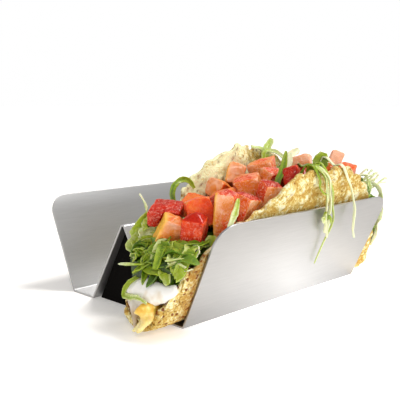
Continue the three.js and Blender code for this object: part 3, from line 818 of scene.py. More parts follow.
@dataclass
class TortillaForm:
    """Shape of the folded tortilla, from its fold up both walls. All sizes are in mm and degrees."""

    holder: HolderForm
    radius: float = 60.0
    thickness: float = 2.2
    rim_thickness: float = 1.2
    lean: dict = field(default_factory=lambda: {Side.NEAR: 24.5, Side.FAR: 11.0})
    straighten: dict = field(default_factory=lambda: {Side.NEAR: 8.0, Side.FAR: 5.0})
    straighten_over: float = 45.0
    tip_width: float = 1.2
    tip_reach: float = 9.0
    ragged: float = 0.6
    clearance: float = 0.7  # to the filling
    gap: float = 0.35  # to the holder
    step: float = 0.25  # of the walls' tables
    table_reach: float = 90.0
    search_reach: float = 85.0  # up a wall, for a height on it
    rim_reach: float = 80.0  # up a wall, for its rim
    swells: dict = field(
        default_factory=lambda: {
            Side.NEAR: [Swell(121, 13, -7), Swell(168, 13, 5), Swell(89, 11, -2.6)],
            Side.FAR: [Swell(132, 20, -6), Swell(85, 22, 2.6), Swell(176, 11, 6)],
        }
    )

    def __post_init__(self) -> None:
        """Fits the round fold into the holder's slot, and works out both walls."""
        holder = self.holder
        lean = math.radians(holder.plate_lean)
        ridge_lean = math.atan(holder.ridge_half_base / holder.ridge_height)
        plate_foot = -holder.floor / 2 + holder.sheet / math.cos(lean) - holder.sheet * math.tan(lean)
        plate_share = math.tan((math.pi / 2 - lean) / 2)
        ridge_share = math.tan((math.pi / 2 - ridge_lean) / 2)
        inscribed = (holder.floor / 2 - plate_foot) / (plate_share + ridge_share)
        self.fold_radius = inscribed - self.gap
        self.fold_y = plate_foot + inscribed * plate_share
        self.fold_z = holder.sheet + inscribed
        self.lengths = np.arange(0.0, self.table_reach + self.step / 2, self.step)
        self.tables = {side: self.wall(side) for side in Side}

    def wall(self, side: Side) -> tuple[np.ndarray, np.ndarray, np.ndarray]:
        """A wall's outer face at even lengths from the middle of the fold.

        Args:
            side: Which wall.

        Returns:
            Its y, its z and its heading, in radians from level.
        """
        upright = math.radians(90.0 - self.lean[side])
        arc = self.fold_radius * upright

        def heading(s: np.ndarray) -> np.ndarray:
            """Heading of the wall at a length up it."""
            risen = upright + math.radians(self.straighten[side]) * rise(s, arc, self.straighten_over)
            return np.where(s < arc, s / self.fold_radius, risen)

        middles = heading(self.lengths[1:] - self.step / 2)
        y = self.fold_y + side.value * np.concatenate([[0.0], np.cumsum(np.cos(middles)) * self.step])
        z = self.fold_z - self.fold_radius + np.concatenate([[0.0], np.cumsum(np.sin(middles)) * self.step])
        return y, z, heading(self.lengths)

    def point(self, x: np.ndarray, s: np.ndarray, inward: np.ndarray | float) -> np.ndarray:
        """Points of the tortilla.

        Args:
            x: Place along the fold, in mm.
            s: Length up the near wall, where negative, or up the far wall, in mm.
            inward: How far in from the outer face, in mm.

        Returns:
            The points, in mm, one row each.
        """
        x, s, inward = np.broadcast_arrays(*(np.atleast_1d(v).astype(float) for v in (x, s, inward)))
        push = inward + self.buckle(x, s)
        found = np.empty((*x.shape, 3))
        for side, (y, z, heading) in self.tables.items():
            here = (s < 0) if side is Side.NEAR else (s >= 0)
            length = np.abs(s[here])
            turn = np.interp(length, self.lengths, heading)
            found[here, 0] = x[here]
            found[here, 1] = np.interp(length, self.lengths, y) - side.value * np.sin(turn) * push[here]
            found[here, 2] = np.interp(length, self.lengths, z) + np.cos(turn) * push[here]
        return found

    def buckle(self, x: np.ndarray, s: np.ndarray) -> np.ndarray:
        """How far the fried tortilla buckles inwards.

        Args:
            x: Place along the fold, in mm.
            s: Length up a wall, with its sign, in mm.

        Returns:
            The depth of its lumps and waves, in mm.
        """
        height = np.abs(s)
        high = rise(height, 12, 45)
        over_plate = rise(height, 44, 10)
        lumpy = 0.3 * (1 + lumps(x, s, 11))
        near = high * lumpy + over_plate * 0.9 * np.sin(x / 6.5 + 0.6)
        waves = 1.9 * np.sin(x / 6.2 + 2.6) + 0.9 * np.sin(x / 3.1 + 0.4)
        return np.where(s < 0, near, high * (lumpy + waves * high))

    def rim_radius(self, side: Side, degrees: np.ndarray) -> np.ndarray:
        """Radius of the tortilla's edge.

        Args:
            side: Which wall's edge.
            degrees: Angles round it, from the far end of the fold.

        Returns:
            The radius at each angle, in mm.
        """
        ragged = self.ragged * (np.sin(degrees * 0.83 + side.value) + 0.6 * np.sin(degrees * 0.37))
        radius = self.radius + ragged
        for swell in self.swells[side]:
            radius = radius + swell.by * np.exp(-(((degrees - swell.at) / swell.width) ** 2))
        return radius

    def wall_reach(self, side: Side, x: np.ndarray) -> np.ndarray:
        """Length of wall from the fold to the rim.

        Args:
            side: Which wall.
            x: Places along the fold, in mm.

        Returns:
            The length at each place, in mm.
        """
        x = np.atleast_1d(x).astype(float)
        low, high = np.zeros_like(x), np.full_like(x, self.rim_reach)
        for _ in range(30):
            s = (low + high) / 2
            inside = np.hypot(x, s) < self.rim_radius(side, np.degrees(np.arctan2(s, x)))
            low, high = np.where(inside, s, low), np.where(inside, high, s)
        return low

    def filling_face(self, x: np.ndarray, s: np.ndarray) -> np.ndarray:
        """Points just inside the shell, which the filling keeps to."""
        return self.point(x, s, self.thickness + self.clearance)

    def wall_to(self, side: Side, x: np.ndarray | float, z: np.ndarray | float) -> np.ndarray:
        """Length up a wall at which the filling's face reaches a height.

        Args:
            side: Which wall.
            x: Places along the fold, in mm.
            z: The height at each place, in mm.

        Returns:
            The length at each place, with its wall's sign, in mm.
        """
        x, z = np.broadcast_arrays(np.atleast_1d(x).astype(float), z)
        low, high = np.zeros_like(x), np.full_like(x, self.search_reach)
        for _ in range(20):
            s = (low + high) / 2
            below = self.filling_face(x, side.value * s)[:, 2] < z
            low, high = np.where(below, s, low), np.where(below, high, s)
        return side.value * low

    def ends(self) -> tuple[float, float]:
        """Where the fold starts and stops along X."""
        start, end = (float(self.rim_radius(Side.FAR, np.array(degrees))) for degrees in (180.0, 0.0))
        return self.tip_width - start, end - self.tip_width


@dataclass
class FillingForm:
    """Heights of the layers of filling along the fold, in mm."""

    start: float = -64.0
    end: float = 57.0
    clearance: float = 0.7
    cream_height: float = 18.0
    cream_end_height: float = 12.5
    cream_taper: float = 9.0  # length over which it slopes down to its two ends
    lettuce_start: float = -60.0
    heap_x: tuple = (-61, -54, -40, -26, -8, 14, 34, 48, 57)
    heap_z: tuple = (21, 26, 30, 34, 40, 44, 44, 35, 21)
    crown: float = 1.5  # how much higher the heap is along its middle

    def cream_top(self, x: float, place: float) -> float:
        """Height of the cream.

        Args:
            x: Place along the fold, in mm.
            place: Place across it, from -1 at the near wall to 1 at the far one.

        Returns:
            The height, in mm.
        """
        inwards = [rise(reach, 0, self.cream_taper) for reach in (x - self.start + 1, self.end + 1 - x)]
        level = lerp(self.cream_end_height, self.cream_height, float(inwards[0] * inwards[1]))
        return level + 0.8 * float(lumps(x + 4, 8 * place, 21)) + 1.2 * (1 - place * place)

    def lettuce_bottom(self, x: float, place: float) -> float:
        """Height of the underside of the lettuce, at a place across the fold as for the cream."""
        return self.cream_top(x, place) + self.clearance

    def lettuce_top(self, x: float, place: float) -> float:
        """Height of the lettuce heap, before its loose shreds.

        Args:
            x: Place along the fold, in mm.
            place: Place across it, as for the cream.

        Returns:
            The height, in mm.
        """
        heap = float(np.interp(x, self.heap_x, self.heap_z))
        heap += self.crown * (1 - place * place) + 0.8 * float(lumps(x, 12 * place, 9))
        return max(heap, self.lettuce_bottom(x, place) + 1.5)


# ---------- holder ----------


@dataclass
class Holder:
    """The holder: one sheet of steel folded into two slots with a ridge between them."""

    form: HolderForm
    finish: SatinSteel
    edge_round: float = 0.16  # mm, deburred edge of the cut sheet
    bend_steps: int = 8
    ridge_steps: int = 16

    def corners(self) -> list[tuple[float, float]]:
        """Corners of the bent line down the middle of the sheet.

        Returns:
            The y and z of each corner, from plate to plate.
        """
        form = self.form
        half = form.sheet / 2
        lean = math.tan(math.radians(form.plate_lean))
        skew = half / math.cos(math.radians(form.plate_lean))
        floor = form.floor / 2
        middle = floor + form.ridge_half_base
        foot = -(floor - half * lean - skew)
        near = [(foot - form.plate_height * lean, form.plate_height), (foot, half), (floor, half)]
        top = (middle, form.ridge_corner)
        return [*near, top, *[(2 * middle - y, z) for y, z in reversed(near)]]

    def line(self) -> list[Vector]:
        """The bent line with its bends rounded.

        Returns:
            Its points, each a y and a z.
        """
        corners = [Vector(c) for c in self.corners()]
        line = [corners[0]]
        for last, point, following in zip(corners, corners[1:], corners[2:]):
            before, after = (last - point).normalized(), (following - point).normalized()
            ridge = point.y > self.form.ridge_height / 2
            radius = self.form.ridge_top_radius if ridge else self.form.bend_radius
            opening = before.angle(after)
            centre = point + (before + after).normalized() * (radius / math.sin(opening / 2))
            start = point + before * (radius / math.tan(opening / 2)) - centre
            end = point + after * (radius / math.tan(opening / 2)) - centre
            steps = self.ridge_steps if ridge else self.bend_steps
            line += [centre + start.slerp(end, k / steps) for k in range(steps + 1)]
        line.append(corners[-1])
        return line

    def build(self) -> list[bpy.types.Object]:
        """Folds a flat grid along the line, rounds the plates' upper corners, and thickens it.

        Returns:
            The holder, in a list.
        """
        line = self.line()
        grid = {"x_subdivisions": 1, "y_subdivisions": len(line) - 1, "size": 1.0}
        piece = added(bpy.ops.mesh.primitive_grid_add, "folded_steel_holder", **grid)
        places = vertex_places(piece) * MM
        rows = np.rint((places[:, 1] + 0.5) * (len(line) - 1)).astype(int)
        bent = np.array([(p.x, p.y) for p in line])[rows]
        put_vertices(piece, np.column_stack([np.sign(places[:, 0]) * self.form.length / 2, bent]))
        alone(piece)
        bpy.ops.object.mode_set(mode="EDIT")
        bpy.ops.mesh.select_all(action="DESELECT")
        bpy.ops.object.mode_set(mode="OBJECT")
        for vertex in piece.data.vertices:
            vertex.select = vertex.co.z > (self.form.plate_height - 0.1) * MM
        bpy.ops.object.mode_set(mode="EDIT")
        rounding = {"offset": self.form.corner_radius * MM, "segments": 12, "profile": 0.5}
        bpy.ops.mesh.bevel(affect="VERTICES", **rounding)
        bpy.ops.object.mode_set(mode="OBJECT")
        with_modifier(piece, "SOLIDIFY", thickness=self.form.sheet * MM, offset=0.0, use_even_offset=True)
        edges = {"limit_method": "ANGLE", "angle_limit": math.radians(50)}
        with_modifier(piece, "BEVEL", width=self.edge_round * MM, segments=3, **edges)
        alone(piece)
        bpy.ops.object.shade_smooth_by_angle(angle=math.radians(35))
        return [handed_over(piece, self.finish.build(), ["holder"])]


# ---------- taco shell ----------


@dataclass(frozen=True)
class Sheet:
    """Places on the flat tortilla, one number for each."""

    x: np.ndarray  # along the fold, in mm
    s: np.ndarray  # up a wall, with its sign, in mm
    t: np.ndarray  # share of the way up to the rim
    fine: np.ndarray  # fine raggedness of the rim above it, about -1 to 1

    def pairs(self) -> np.ndarray:
        """Each place as x and s, one a row."""
        return np.column_stack([self.x, self.s])


@dataclass
class Shell:
    """The fried tortilla, with its blisters, pits and ragged edge. Sizes are in mm."""

    form: TortillaForm
    finish: FriedTortilla
    columns: int = 248  # along the fold
    rows: int = 86  # up each wall
    crowding: float = 0.65  # how much closer its columns stand towards the two ends
    blister_spacing: float = 6.2
    blister_height: float = 0.9
    bump_spacing: float = 2.3
    bump_height: float = 0.5
    lump_height: float = 0.3
    grain_height: float = 0.16
    pit_depth: float = 0.5
    speck_spacing: float = 3.0
    dot_spacing: float = 1.9
    nibble: float = 0.8  # fine raggedness of the edge
    spill_line: float = -44.0  # X past which fat has spat more dots
    plate_end: float = 51.0  # X past which the shell stands free of the holder

    def sheet(self, across: np.ndarray, up: np.ndarray) -> Sheet:
        """Spreads a grid over the tortilla, closer towards the two ends and with a nibbled rim.

        Args:
            across: Places along the fold, from 0 to 1.
            up: Places up the near wall, down to -1, and the far one, up to 1.

        Returns:
            The places on the tortilla.
        """
        form = self.form
        start, end = form.ends()
        crowded = (1 - np.cos(math.pi * across)) / 2
        x = start + (end - start) * ((1 - self.crowding) * across + self.crowding * crowded)
        reach = np.where(up < 0, form.wall_reach(Side.NEAR, x), form.wall_reach(Side.FAR, x))
        reach = np.maximum(reach, form.tip_reach)
        edge = np.column_stack([x, 50.0 * np.sign(up)])
        fine = 0.6 * uneven(edge, 1.5, 3.0) + 0.6 * uneven(edge, 4.5, 31.0)
        t = np.abs(up)
        return Sheet(x, np.sign(up) * t * (reach + self.nibble * fine * t**8), t, fine)

    def relief(self, sheet: np.ndarray) -> tuple[np.ndarray, np.ndarray, np.ndarray]:
        """Height of the surface, how pale and raised it is, partly as painted light, and how toasted.

        Args:
            sheet: Places on the tortilla as x and s, one a row.

        Returns:
            Heights in mm, outwards, then how pale and raised it is, partly as painted highlight and shade,
            and toast, each from 0 to 1.
        """
        # Blisters, each with its own width and height, and small bumps between them.
        gap, own = spots(sheet, self.blister_spacing, 1.0)
        puff = np.clip(1.0 - (gap / (0.36 + 0.3 * own)) ** 2, 0.0, 1.0) ** 1.3 * (0.25 + 0.75 * own)
        gap, own = spots(sheet, self.bump_spacing, 5.0)
        bump = np.clip(1.0 - (gap / 0.62) ** 2, 0.0, 1.0) * (0.2 + 0.8 * own)
        lump = uneven(sheet, 4.2, 2.0)
        grain = uneven(sheet, 1.2, 9.0)
        # Toasted specks, and dots of fat, of which there are more and larger ones where the filling spills.
        gap, own = spots(sheet, self.speck_spacing, 14.0)
        speck = np.clip(1.0 - gap / (0.12 + 0.2 * own), 0.0, 1.0) * (own > 0.55)
        gap, own = spots(sheet, self.dot_spacing, 18.0)
        spilling = sheet[:, 0] < self.spill_line
        dot = np.clip(2.0 - gap / np.where(spilling, 0.2, 0.08), 0.0, 1.0)
        speck = np.maximum(speck, dot * (own > np.where(spilling, 0.5, 0.75)))
        # Short cracks that run along the fold, here and there.
        streak = np.abs(uneven(sheet * (0.5, 1.0), 3.4, 21.0))
        bare = rise(uneven(sheet, 13.0, 27.0), 0.05, 0.3)
        crack = np.clip(1.0 - streak / 0.07, 0.0, 1.0) * bare
        height = self.blister_height * puff + self.bump_height * bump
        height = height + self.lump_height * lump + self.grain_height * grain
        height -= self.pit_depth * speck + self.pit_depth * crack
        # Raised places are paler and pits darker: partly the blisters' own colour, partly painted highlight
        # and shade.
        raised_and_painted_light = np.clip(0.05 + 0.4 * puff + 0.4 * bump + 0.12 * lump + 0.1 * grain, 0.0, 1.0)
        toast = np.clip(0.9 * speck + 0.25 * crack, 0.0, 1.0)
        return height, raised_and_painted_light, toast

    def room(self, sheet: Sheet) -> np.ndarray:
        """Share of the relief that fits: little where the shell lies against the steel.

        Args:
            sheet: Places on the tortilla.

        Returns:
            The share at each place, from 0 to 1.
        """
        length = np.abs(sheet.s)
        beyond = rise(np.abs(sheet.x), self.plate_end, 2.0)
        free = np.where(sheet.s < 0, rise(length, 43.0, 5.0), rise(length, 14.0, 8.0))
        return 0.22 + 0.78 * np.maximum(free, beyond)

    def brown_with_painted_light(self, piece: bpy.types.Object, sheet: Sheet, raised_and_painted_light: np.ndarray, toast: np.ndarray) -> None:
        """Stores how the tortilla is fried, place by place.

        The near wall is darker far along it and at the spilling end, partly fried deeper and partly painted
        shade; high on the far wall it is fried least and paler, partly its own colour and partly painted
        light;
        and close to the plate the spilling end is darkened with painted shade.

        Args:
            piece: The shell, with one vertex for each place.
            sheet: The places.
            raised_and_painted_light: How pale and raised its relief is, which is partly painted highlight and
                shade.
            toast: How toasted its relief is.
        """
        x, s = sheet.x, sheet.s
        rim = rise(sheet.t, 0.955, 0.045)
        spilling = rise(-x, 38.0, 14.0)
        # Painted shade, partly deeper frying: the near wall darkens far along it.
        near_fried_and_painted_shade = -0.02 - 0.13 * rise(x, -24.0, 12.0)
        drift = 6.0 * uneven(sheet.pairs(), 9.0, 41.0)
        # High on the far wall it is paler: partly its less fried colour and masa, partly painted light on
        # that shaded face.
        least = rise(s, 38.0, 10.0) * rise(13.0 - x + drift, 0.0, 14.0)
        far_pale_and_painted_light = 0.3 * least - 0.02 * rise(x - 6.0 + drift, 0.0, 14.0)
        # At the spilling end the near wall is darker: partly fried deeper, partly painted shade.
        near = lerp(raised_and_painted_light + near_fried_and_painted_shade, 0.6 * raised_and_painted_light - 0.03, spilling)
        # Painted shade: the near wall at the spilling end darkens close to the plate, carried with the toast.
        toast = toast + 0.42 * rise(x, -58.0, 6.0) * spilling * (s < 0)
        write_values(piece, "raised_and_painted_light", np.where(s < 0, near, raised_and_painted_light) + 0.15 * rim)
        write_values(piece, "paler_inside_and_painted_light", np.where(s < 0, 0.0, far_pale_and_painted_light))
        write_values(piece, "masa", 0.6 * least)
        write_values(piece, "spattered", spilling * (s < 0))
        write_values(piece, "toast", np.clip(toast + 0.12 * rim * (0.5 + 0.5 * sheet.fine), 0, 1))

    def build(self) -> list[bpy.types.Object]:
        """Lays a grid over the folded form, raises its relief, and thickens it.

        Returns:
            The shell, in a list.
        """
        form = self.form
        grid = {"x_subdivisions": self.columns, "y_subdivisions": 2 * self.rows, "size": 1.0}
        piece = added(bpy.ops.mesh.primitive_grid_add, "tortilla_shell", **grid)
        flat = vertex_places(piece) * MM
        sheet = self.sheet(flat[:, 0] + 0.5, flat[:, 1] * 2)
        height, raised_and_painted_light, toast = self.relief(sheet.pairs())
        height *= self.room(sheet)
        put_vertices(piece, form.point(sheet.x, sheet.s, form.thickness / 2 - height))
        thick = form.thickness - (form.thickness - form.rim_thickness) * sheet.t**6
        group = piece.vertex_groups.new(name="thickness")
        for index, weight in enumerate(thick / form.thickness):
            group.add([index], float(weight), "REPLACE")
        self.brown_with_painted_light(piece, sheet, raised_and_painted_light, toast)
        thickening = {"thickness": form.thickness * MM, "offset": 0.0, "use_even_offset": False}
        with_modifier(piece, "SOLIDIFY", vertex_group="thickness", **thickening)
        # Only the far wall's inner face is paler, with its masa and its painted light: both its faces have
        # just been given the same numbers.
        inside = smooth(-3.0 * vertex_normals(piece)[:, 1])
        raised_and_painted_light = stored_values(piece, "raised_and_painted_light") + inside * stored_values(piece, "paler_inside_and_painted_light")
        write_values(piece, "raised_and_painted_light", np.clip(raised_and_painted_light, -0.4, 1))
        write_values(piece, "masa", inside * stored_values(piece, "masa"))
        alone(piece)
        bpy.ops.object.shade_smooth()
        return [handed_over(piece, self.finish.build(), ["shell"])]


# ---------- tomato ----------


@dataclass(frozen=True)
class Die:
    """One die of tomato: middle and size in mm, turn in degrees, and tone from 0, deep red, to 1, pale.

    Its faces may have tones of their own, by name, partly their own colour and partly painted light and shade
    for how each face lies to the light, and one side may be the fruit's skin.
    """

    at: Triple
    size: Triple
    turn: Triple
    tone: float
    faces: dict = field(default_factory=dict)
    skin: str = ""
    flesh: float = 0.5  # how much of it is pale fibres

    def local(self, places: np.ndarray) -> np.ndarray:
        """Places in mm as shares of the die's half sizes along its own axes."""
        return ((places - np.array(self.at)) @ self.axes()) / (np.array(self.size) / 2)

    def axes(self) -> np.ndarray:
        """The die's own axes, as columns."""
        return np.array(Euler([math.radians(a) for a in self.turn], "XYZ").to_matrix())

    def skin_depth(self, places: np.ndarray) -> np.ndarray:
        """How far in from the skin places are.

        Args:
            places: Points in mm, one a row.

        Returns:
            The depth of each in mm, or more than any die's size where it has no skin.
        """
        if not self.skin:
            return np.full(len(places), 99.0)
        axis, sign = "xyz".index(self.skin[1]), float(self.skin[0] + "1")
        return (1.0 - sign * self.local(places)[:, axis]) * self.size[axis] / 2


# Tones of single faces are partly painted light: faces that lie in shade among the filling are given paler
# tones.
DICE = [
    Die(
        (-49.5, 1.5, 30.8),
        (9.5, 8, 14),
        (16, 24, -34),
        0.5,
        {"-y": 0.61, "+z": 0.46, "-x": 0.58},
        "-x",
        flesh=0.3,
    ),
    Die((-47.5, -8, 32.6), (9, 8, 13.5), (10, -16, 30), 0.3, {"-x": 0.28, "+z": 0.14, "-y": 0.26}, flesh=0.3),
    Die((-46.5, 7, 37), (12, 12, 6.5), (10, -22, 26), 0.26, {"-x": 0.2, "+z": 0.14}, flesh=0.3),
    Die((-39.5, -3, 37.2), (11, 10, 11.5), (-14, 16, 52), 0.34, {"-x": 0.38}, "-z"),
    Die((-37.8, -13, 38.6), (9, 8, 15.5), (4, -6, 40), 0.34, {"-x": 0.55, "+z": 0.16}, "+y", 1.6),
    Die((-30.5, 9.5, 37), (11, 9, 8), (10, -12, 30), 0.42, {"-x": 0.54, "+z": 0.44}, flesh=0.1),
    Die((-27.5, -12.5, 39.4), (11, 9, 10), (20, 10, 14), 0.3, {"-x": 0.46, "-y": 0.62, "+z": 0.1}, flesh=1.2),
    Die((-26, -1, 40.2), (9, 9, 8), (-20, -12, 10), 0.38, {"-y": 0.48}),
    Die(
        (-15.5, -3.5, 44.6),
        (12.5, 10, 8.5),
        (-12, -8, 38),
        0.34,
        {"-x": 0.6, "-y": 0.58, "+z": 0.44},
        flesh=1.3,
    ),
    Die((-18.5, 8.5, 42), (9, 8, 8), (20, 30, 10), 0.5, {"-x": 0.62, "-y": 0.44}, flesh=0.0),
    Die((-16.5, -14.5, 42.6), (9, 7, 10), (16, 8, -20), 0.32, {"-x": 0.38, "-y": 0.64, "+z": 0.1}, flesh=1.1),
    Die((-8, 9.5, 46.8), (9, 8, 9), (12, 24, 48), 0.46, {"-x": 0.61}, "+y", 0.2),
    Die((4, 5.5, 48.8), (14, 11, 8.5), (-14, -6, 34), 0.42, {"-x": 0.6, "+z": 0.5, "-y": 0.46}, flesh=1.2),
    Die((-4.5, -6, 46.5), (9, 8, 8), (22, 8, -12), 0.34, {"-x": 0.62, "+z": 0.38}, flesh=1.1),
    Die((-1.6, -13, 47.6), (10, 7, 8), (-10, 14, 30), 0.26),
    Die((11, -7.5, 46.6), (10, 8, 7.5), (14, -16, 16), 0.26),
    Die((28.5, 4.5, 49.6), (12, 9, 7), (-10, 10, 30), 0.68, flesh=1.0),
    Die((25, -8, 48), (10, 9, 8), (-20, 10, 34), 0.44),
    Die((40.5, -3, 50.2), (6.5, 6, 9), (20, 24, 50), 0.66, flesh=0.9),
    Die((37.5, -11, 46.8), (9, 7, 6), (10, -14, 20), 0.5),
    Die((49, -1, 41.5), (9, 9, 8), (16, 40, 12), 0.4),
    Die((57, -3.5, 30), (8, 8, 8), (12, 50, 30), 0.45),
]


@dataclass
class Dice:
    """The dice of tomato, each on its own solid's form. Sizes are in mm."""

    finish: CutTomato
    voxel: float = 0.4
    unevenness: float = 0.35
    bump: float = 3.6  # between the bumps of a cut face
    grain: float = 1.5  # between its finer bumps
    skin_thickness: float = 1.05
    tone_spread: float = 0.1  # how much a face's tone may differ from its die's
    flesh_spread: float = 0.3
    edge_painted_light: float = 0.12  # painted light: how much paler its edges and corners are, as where light comes through them
    cloud_tone: float = 0.08  # how much lighter or darker its clouds are
    cloud: float = 5.0  # across a cloud of its tone
    rind_tone: float = 0.2  # how much paler its flesh is right under the skin
    rind: float = 1.6  # how deep that goes

    def build(self) -> list[bpy.types.Object]:
        """Makes every die."""
        material = self.finish.build()
        return [self.die(number, die, material) for number, die in enumerate(DICE, 1)]

    def die(self, number: int, die: Die, material: bpy.types.Material) -> bpy.types.Object:
        """Rounds a copy of one solid, gives it the flesh's unevenness, and stores its tints.

        Args:
            number: Which die it is, from 1.
            die: Its place and tint.
            material: The tomato's finish.

        Returns:
            The finished piece.
        """
        node = f"tomato_{number:02d}"
        piece = copy_of_solid(f"tomato_die_{number:02d}", node)
        with_modifier(piece, "REMESH", mode="VOXEL", voxel_size=self.voxel * MM)
        with_modifier(piece, "SMOOTH", factor=0.5, iterations=1)
        places, facing = vertex_places(piece), vertex_normals(piece) @ die.axes()
        height = uneven(places, self.bump, number) + 0.4 * uneven(places, self.grain, number + 40.0) - 0.3
        raise_surface(piece, height * self.unevenness)
        axis = np.abs(facing).argmax(axis=1)
        sign = (facing[np.arange(len(axis)), axis] > 0).astype(int)
        # Painted light: edges and corners are made paler.
        corner = 1.0 - rise(np.abs(facing).max(axis=1), 0.72, 0.2)
        depth = die.skin_depth(places)
        draws = Draws(number * 97 + 5)
        tones = die.tone + np.array([draws.pair(-self.tone_spread, self.tone_spread) for _ in "xyz"])
        fleshy = die.flesh + np.array([draws.pair(-self.flesh_spread, self.flesh_spread) for _ in "xyz"])
        # Faces' own tones: partly their colour, partly painted light and shade.
        for face, tone in die.faces.items():
            tones["xyz".index(face[1]), int(face[0] == "+")] = tone
        clouds = self.cloud_tone * uneven(places, self.cloud, number + 9.0)
        tone = tones[axis, sign] + self.edge_painted_light * corner + clouds
        tone += self.rind_tone * np.exp(-depth / self.rind)
        # Painted light and shade: the upper part of a die is paler, as if lit through, and its lower part a
        # deeper red.
        tone += 0.05 * np.clip((places[:, 2] - die.at[2]) / 5.0, -1.0, 1.0)
        write_values(piece, "tone", np.clip(tone, 0, 1))
        write_values(piece, "flesh", np.clip(fleshy[axis, sign], 0, 1.25))
        write_values(piece, "skin", 0.9 * np.exp(-((depth / self.skin_thickness) ** 2)))
        alone(piece)
        bpy.ops.object.shade_smooth()
        return handed_over(piece, material, [node])


# ---------- cheese and cream ----------


@dataclass
class SoftLayer:
    """A layer of cheese or cream: its solid's form, melted smooth and gently uneven."""

    name: str
    node: str
    slot: str
    finish: SoftFood
    voxel: float
    melt: int  # rounds of smoothing
    unevenness: float
    lump: float  # mm between lumps
    run_together: float = 0.0  # mm by which neighbouring shreds flow together

    def build(self) -> list[bpy.types.Object]:
        """Makes the layer.

        Returns:
            The layer, in a list.
        """
        piece = copy_of_solid(self.name, self.node)
        with_modifier(piece, "REMESH", mode="VOXEL", voxel_size=self.voxel * MM)
        for way in (1, -1) if self.run_together else ():
            # Swollen, meshed anew and drawn in again, so that shreds lying close become one.
            raise_surface(piece, way * self.run_together)
            with_modifier(piece, "REMESH", mode="VOXEL", voxel_size=self.voxel * MM)
        with_modifier(piece, "SMOOTH", factor=0.5, iterations=self.melt)
        raise_surface(piece, uneven(vertex_places(piece), self.lump, 3.0) * self.unevenness)
        alone(piece)
        bpy.ops.object.shade_smooth()
        return [handed_over(piece, self.finish.build(), [self.node])]


# ---------- lettuce ----------


@dataclass(frozen=True)
class Strand:
    """A shred, strip or leaf along a line. Sizes are in mm, and turns in degrees."""

    points: list
    width: float
    up: Triple = (0.0, 0.0, 1.0)
    twist: float = 0.0
    tip: float = 0.3  # how blunt its ends are, from a point to its full width at 1
    pale: tuple = (0.3, 0.3)  # paleness at its start and end
    rib: float = 0.12  # how much paler its middle is
    curl: float = 0.2
    ripple: float = 0.1
    ragged: float = 0.14
    slant: float = 0.0  # of its cut ends
    steps: int = 12
    across: int = 3


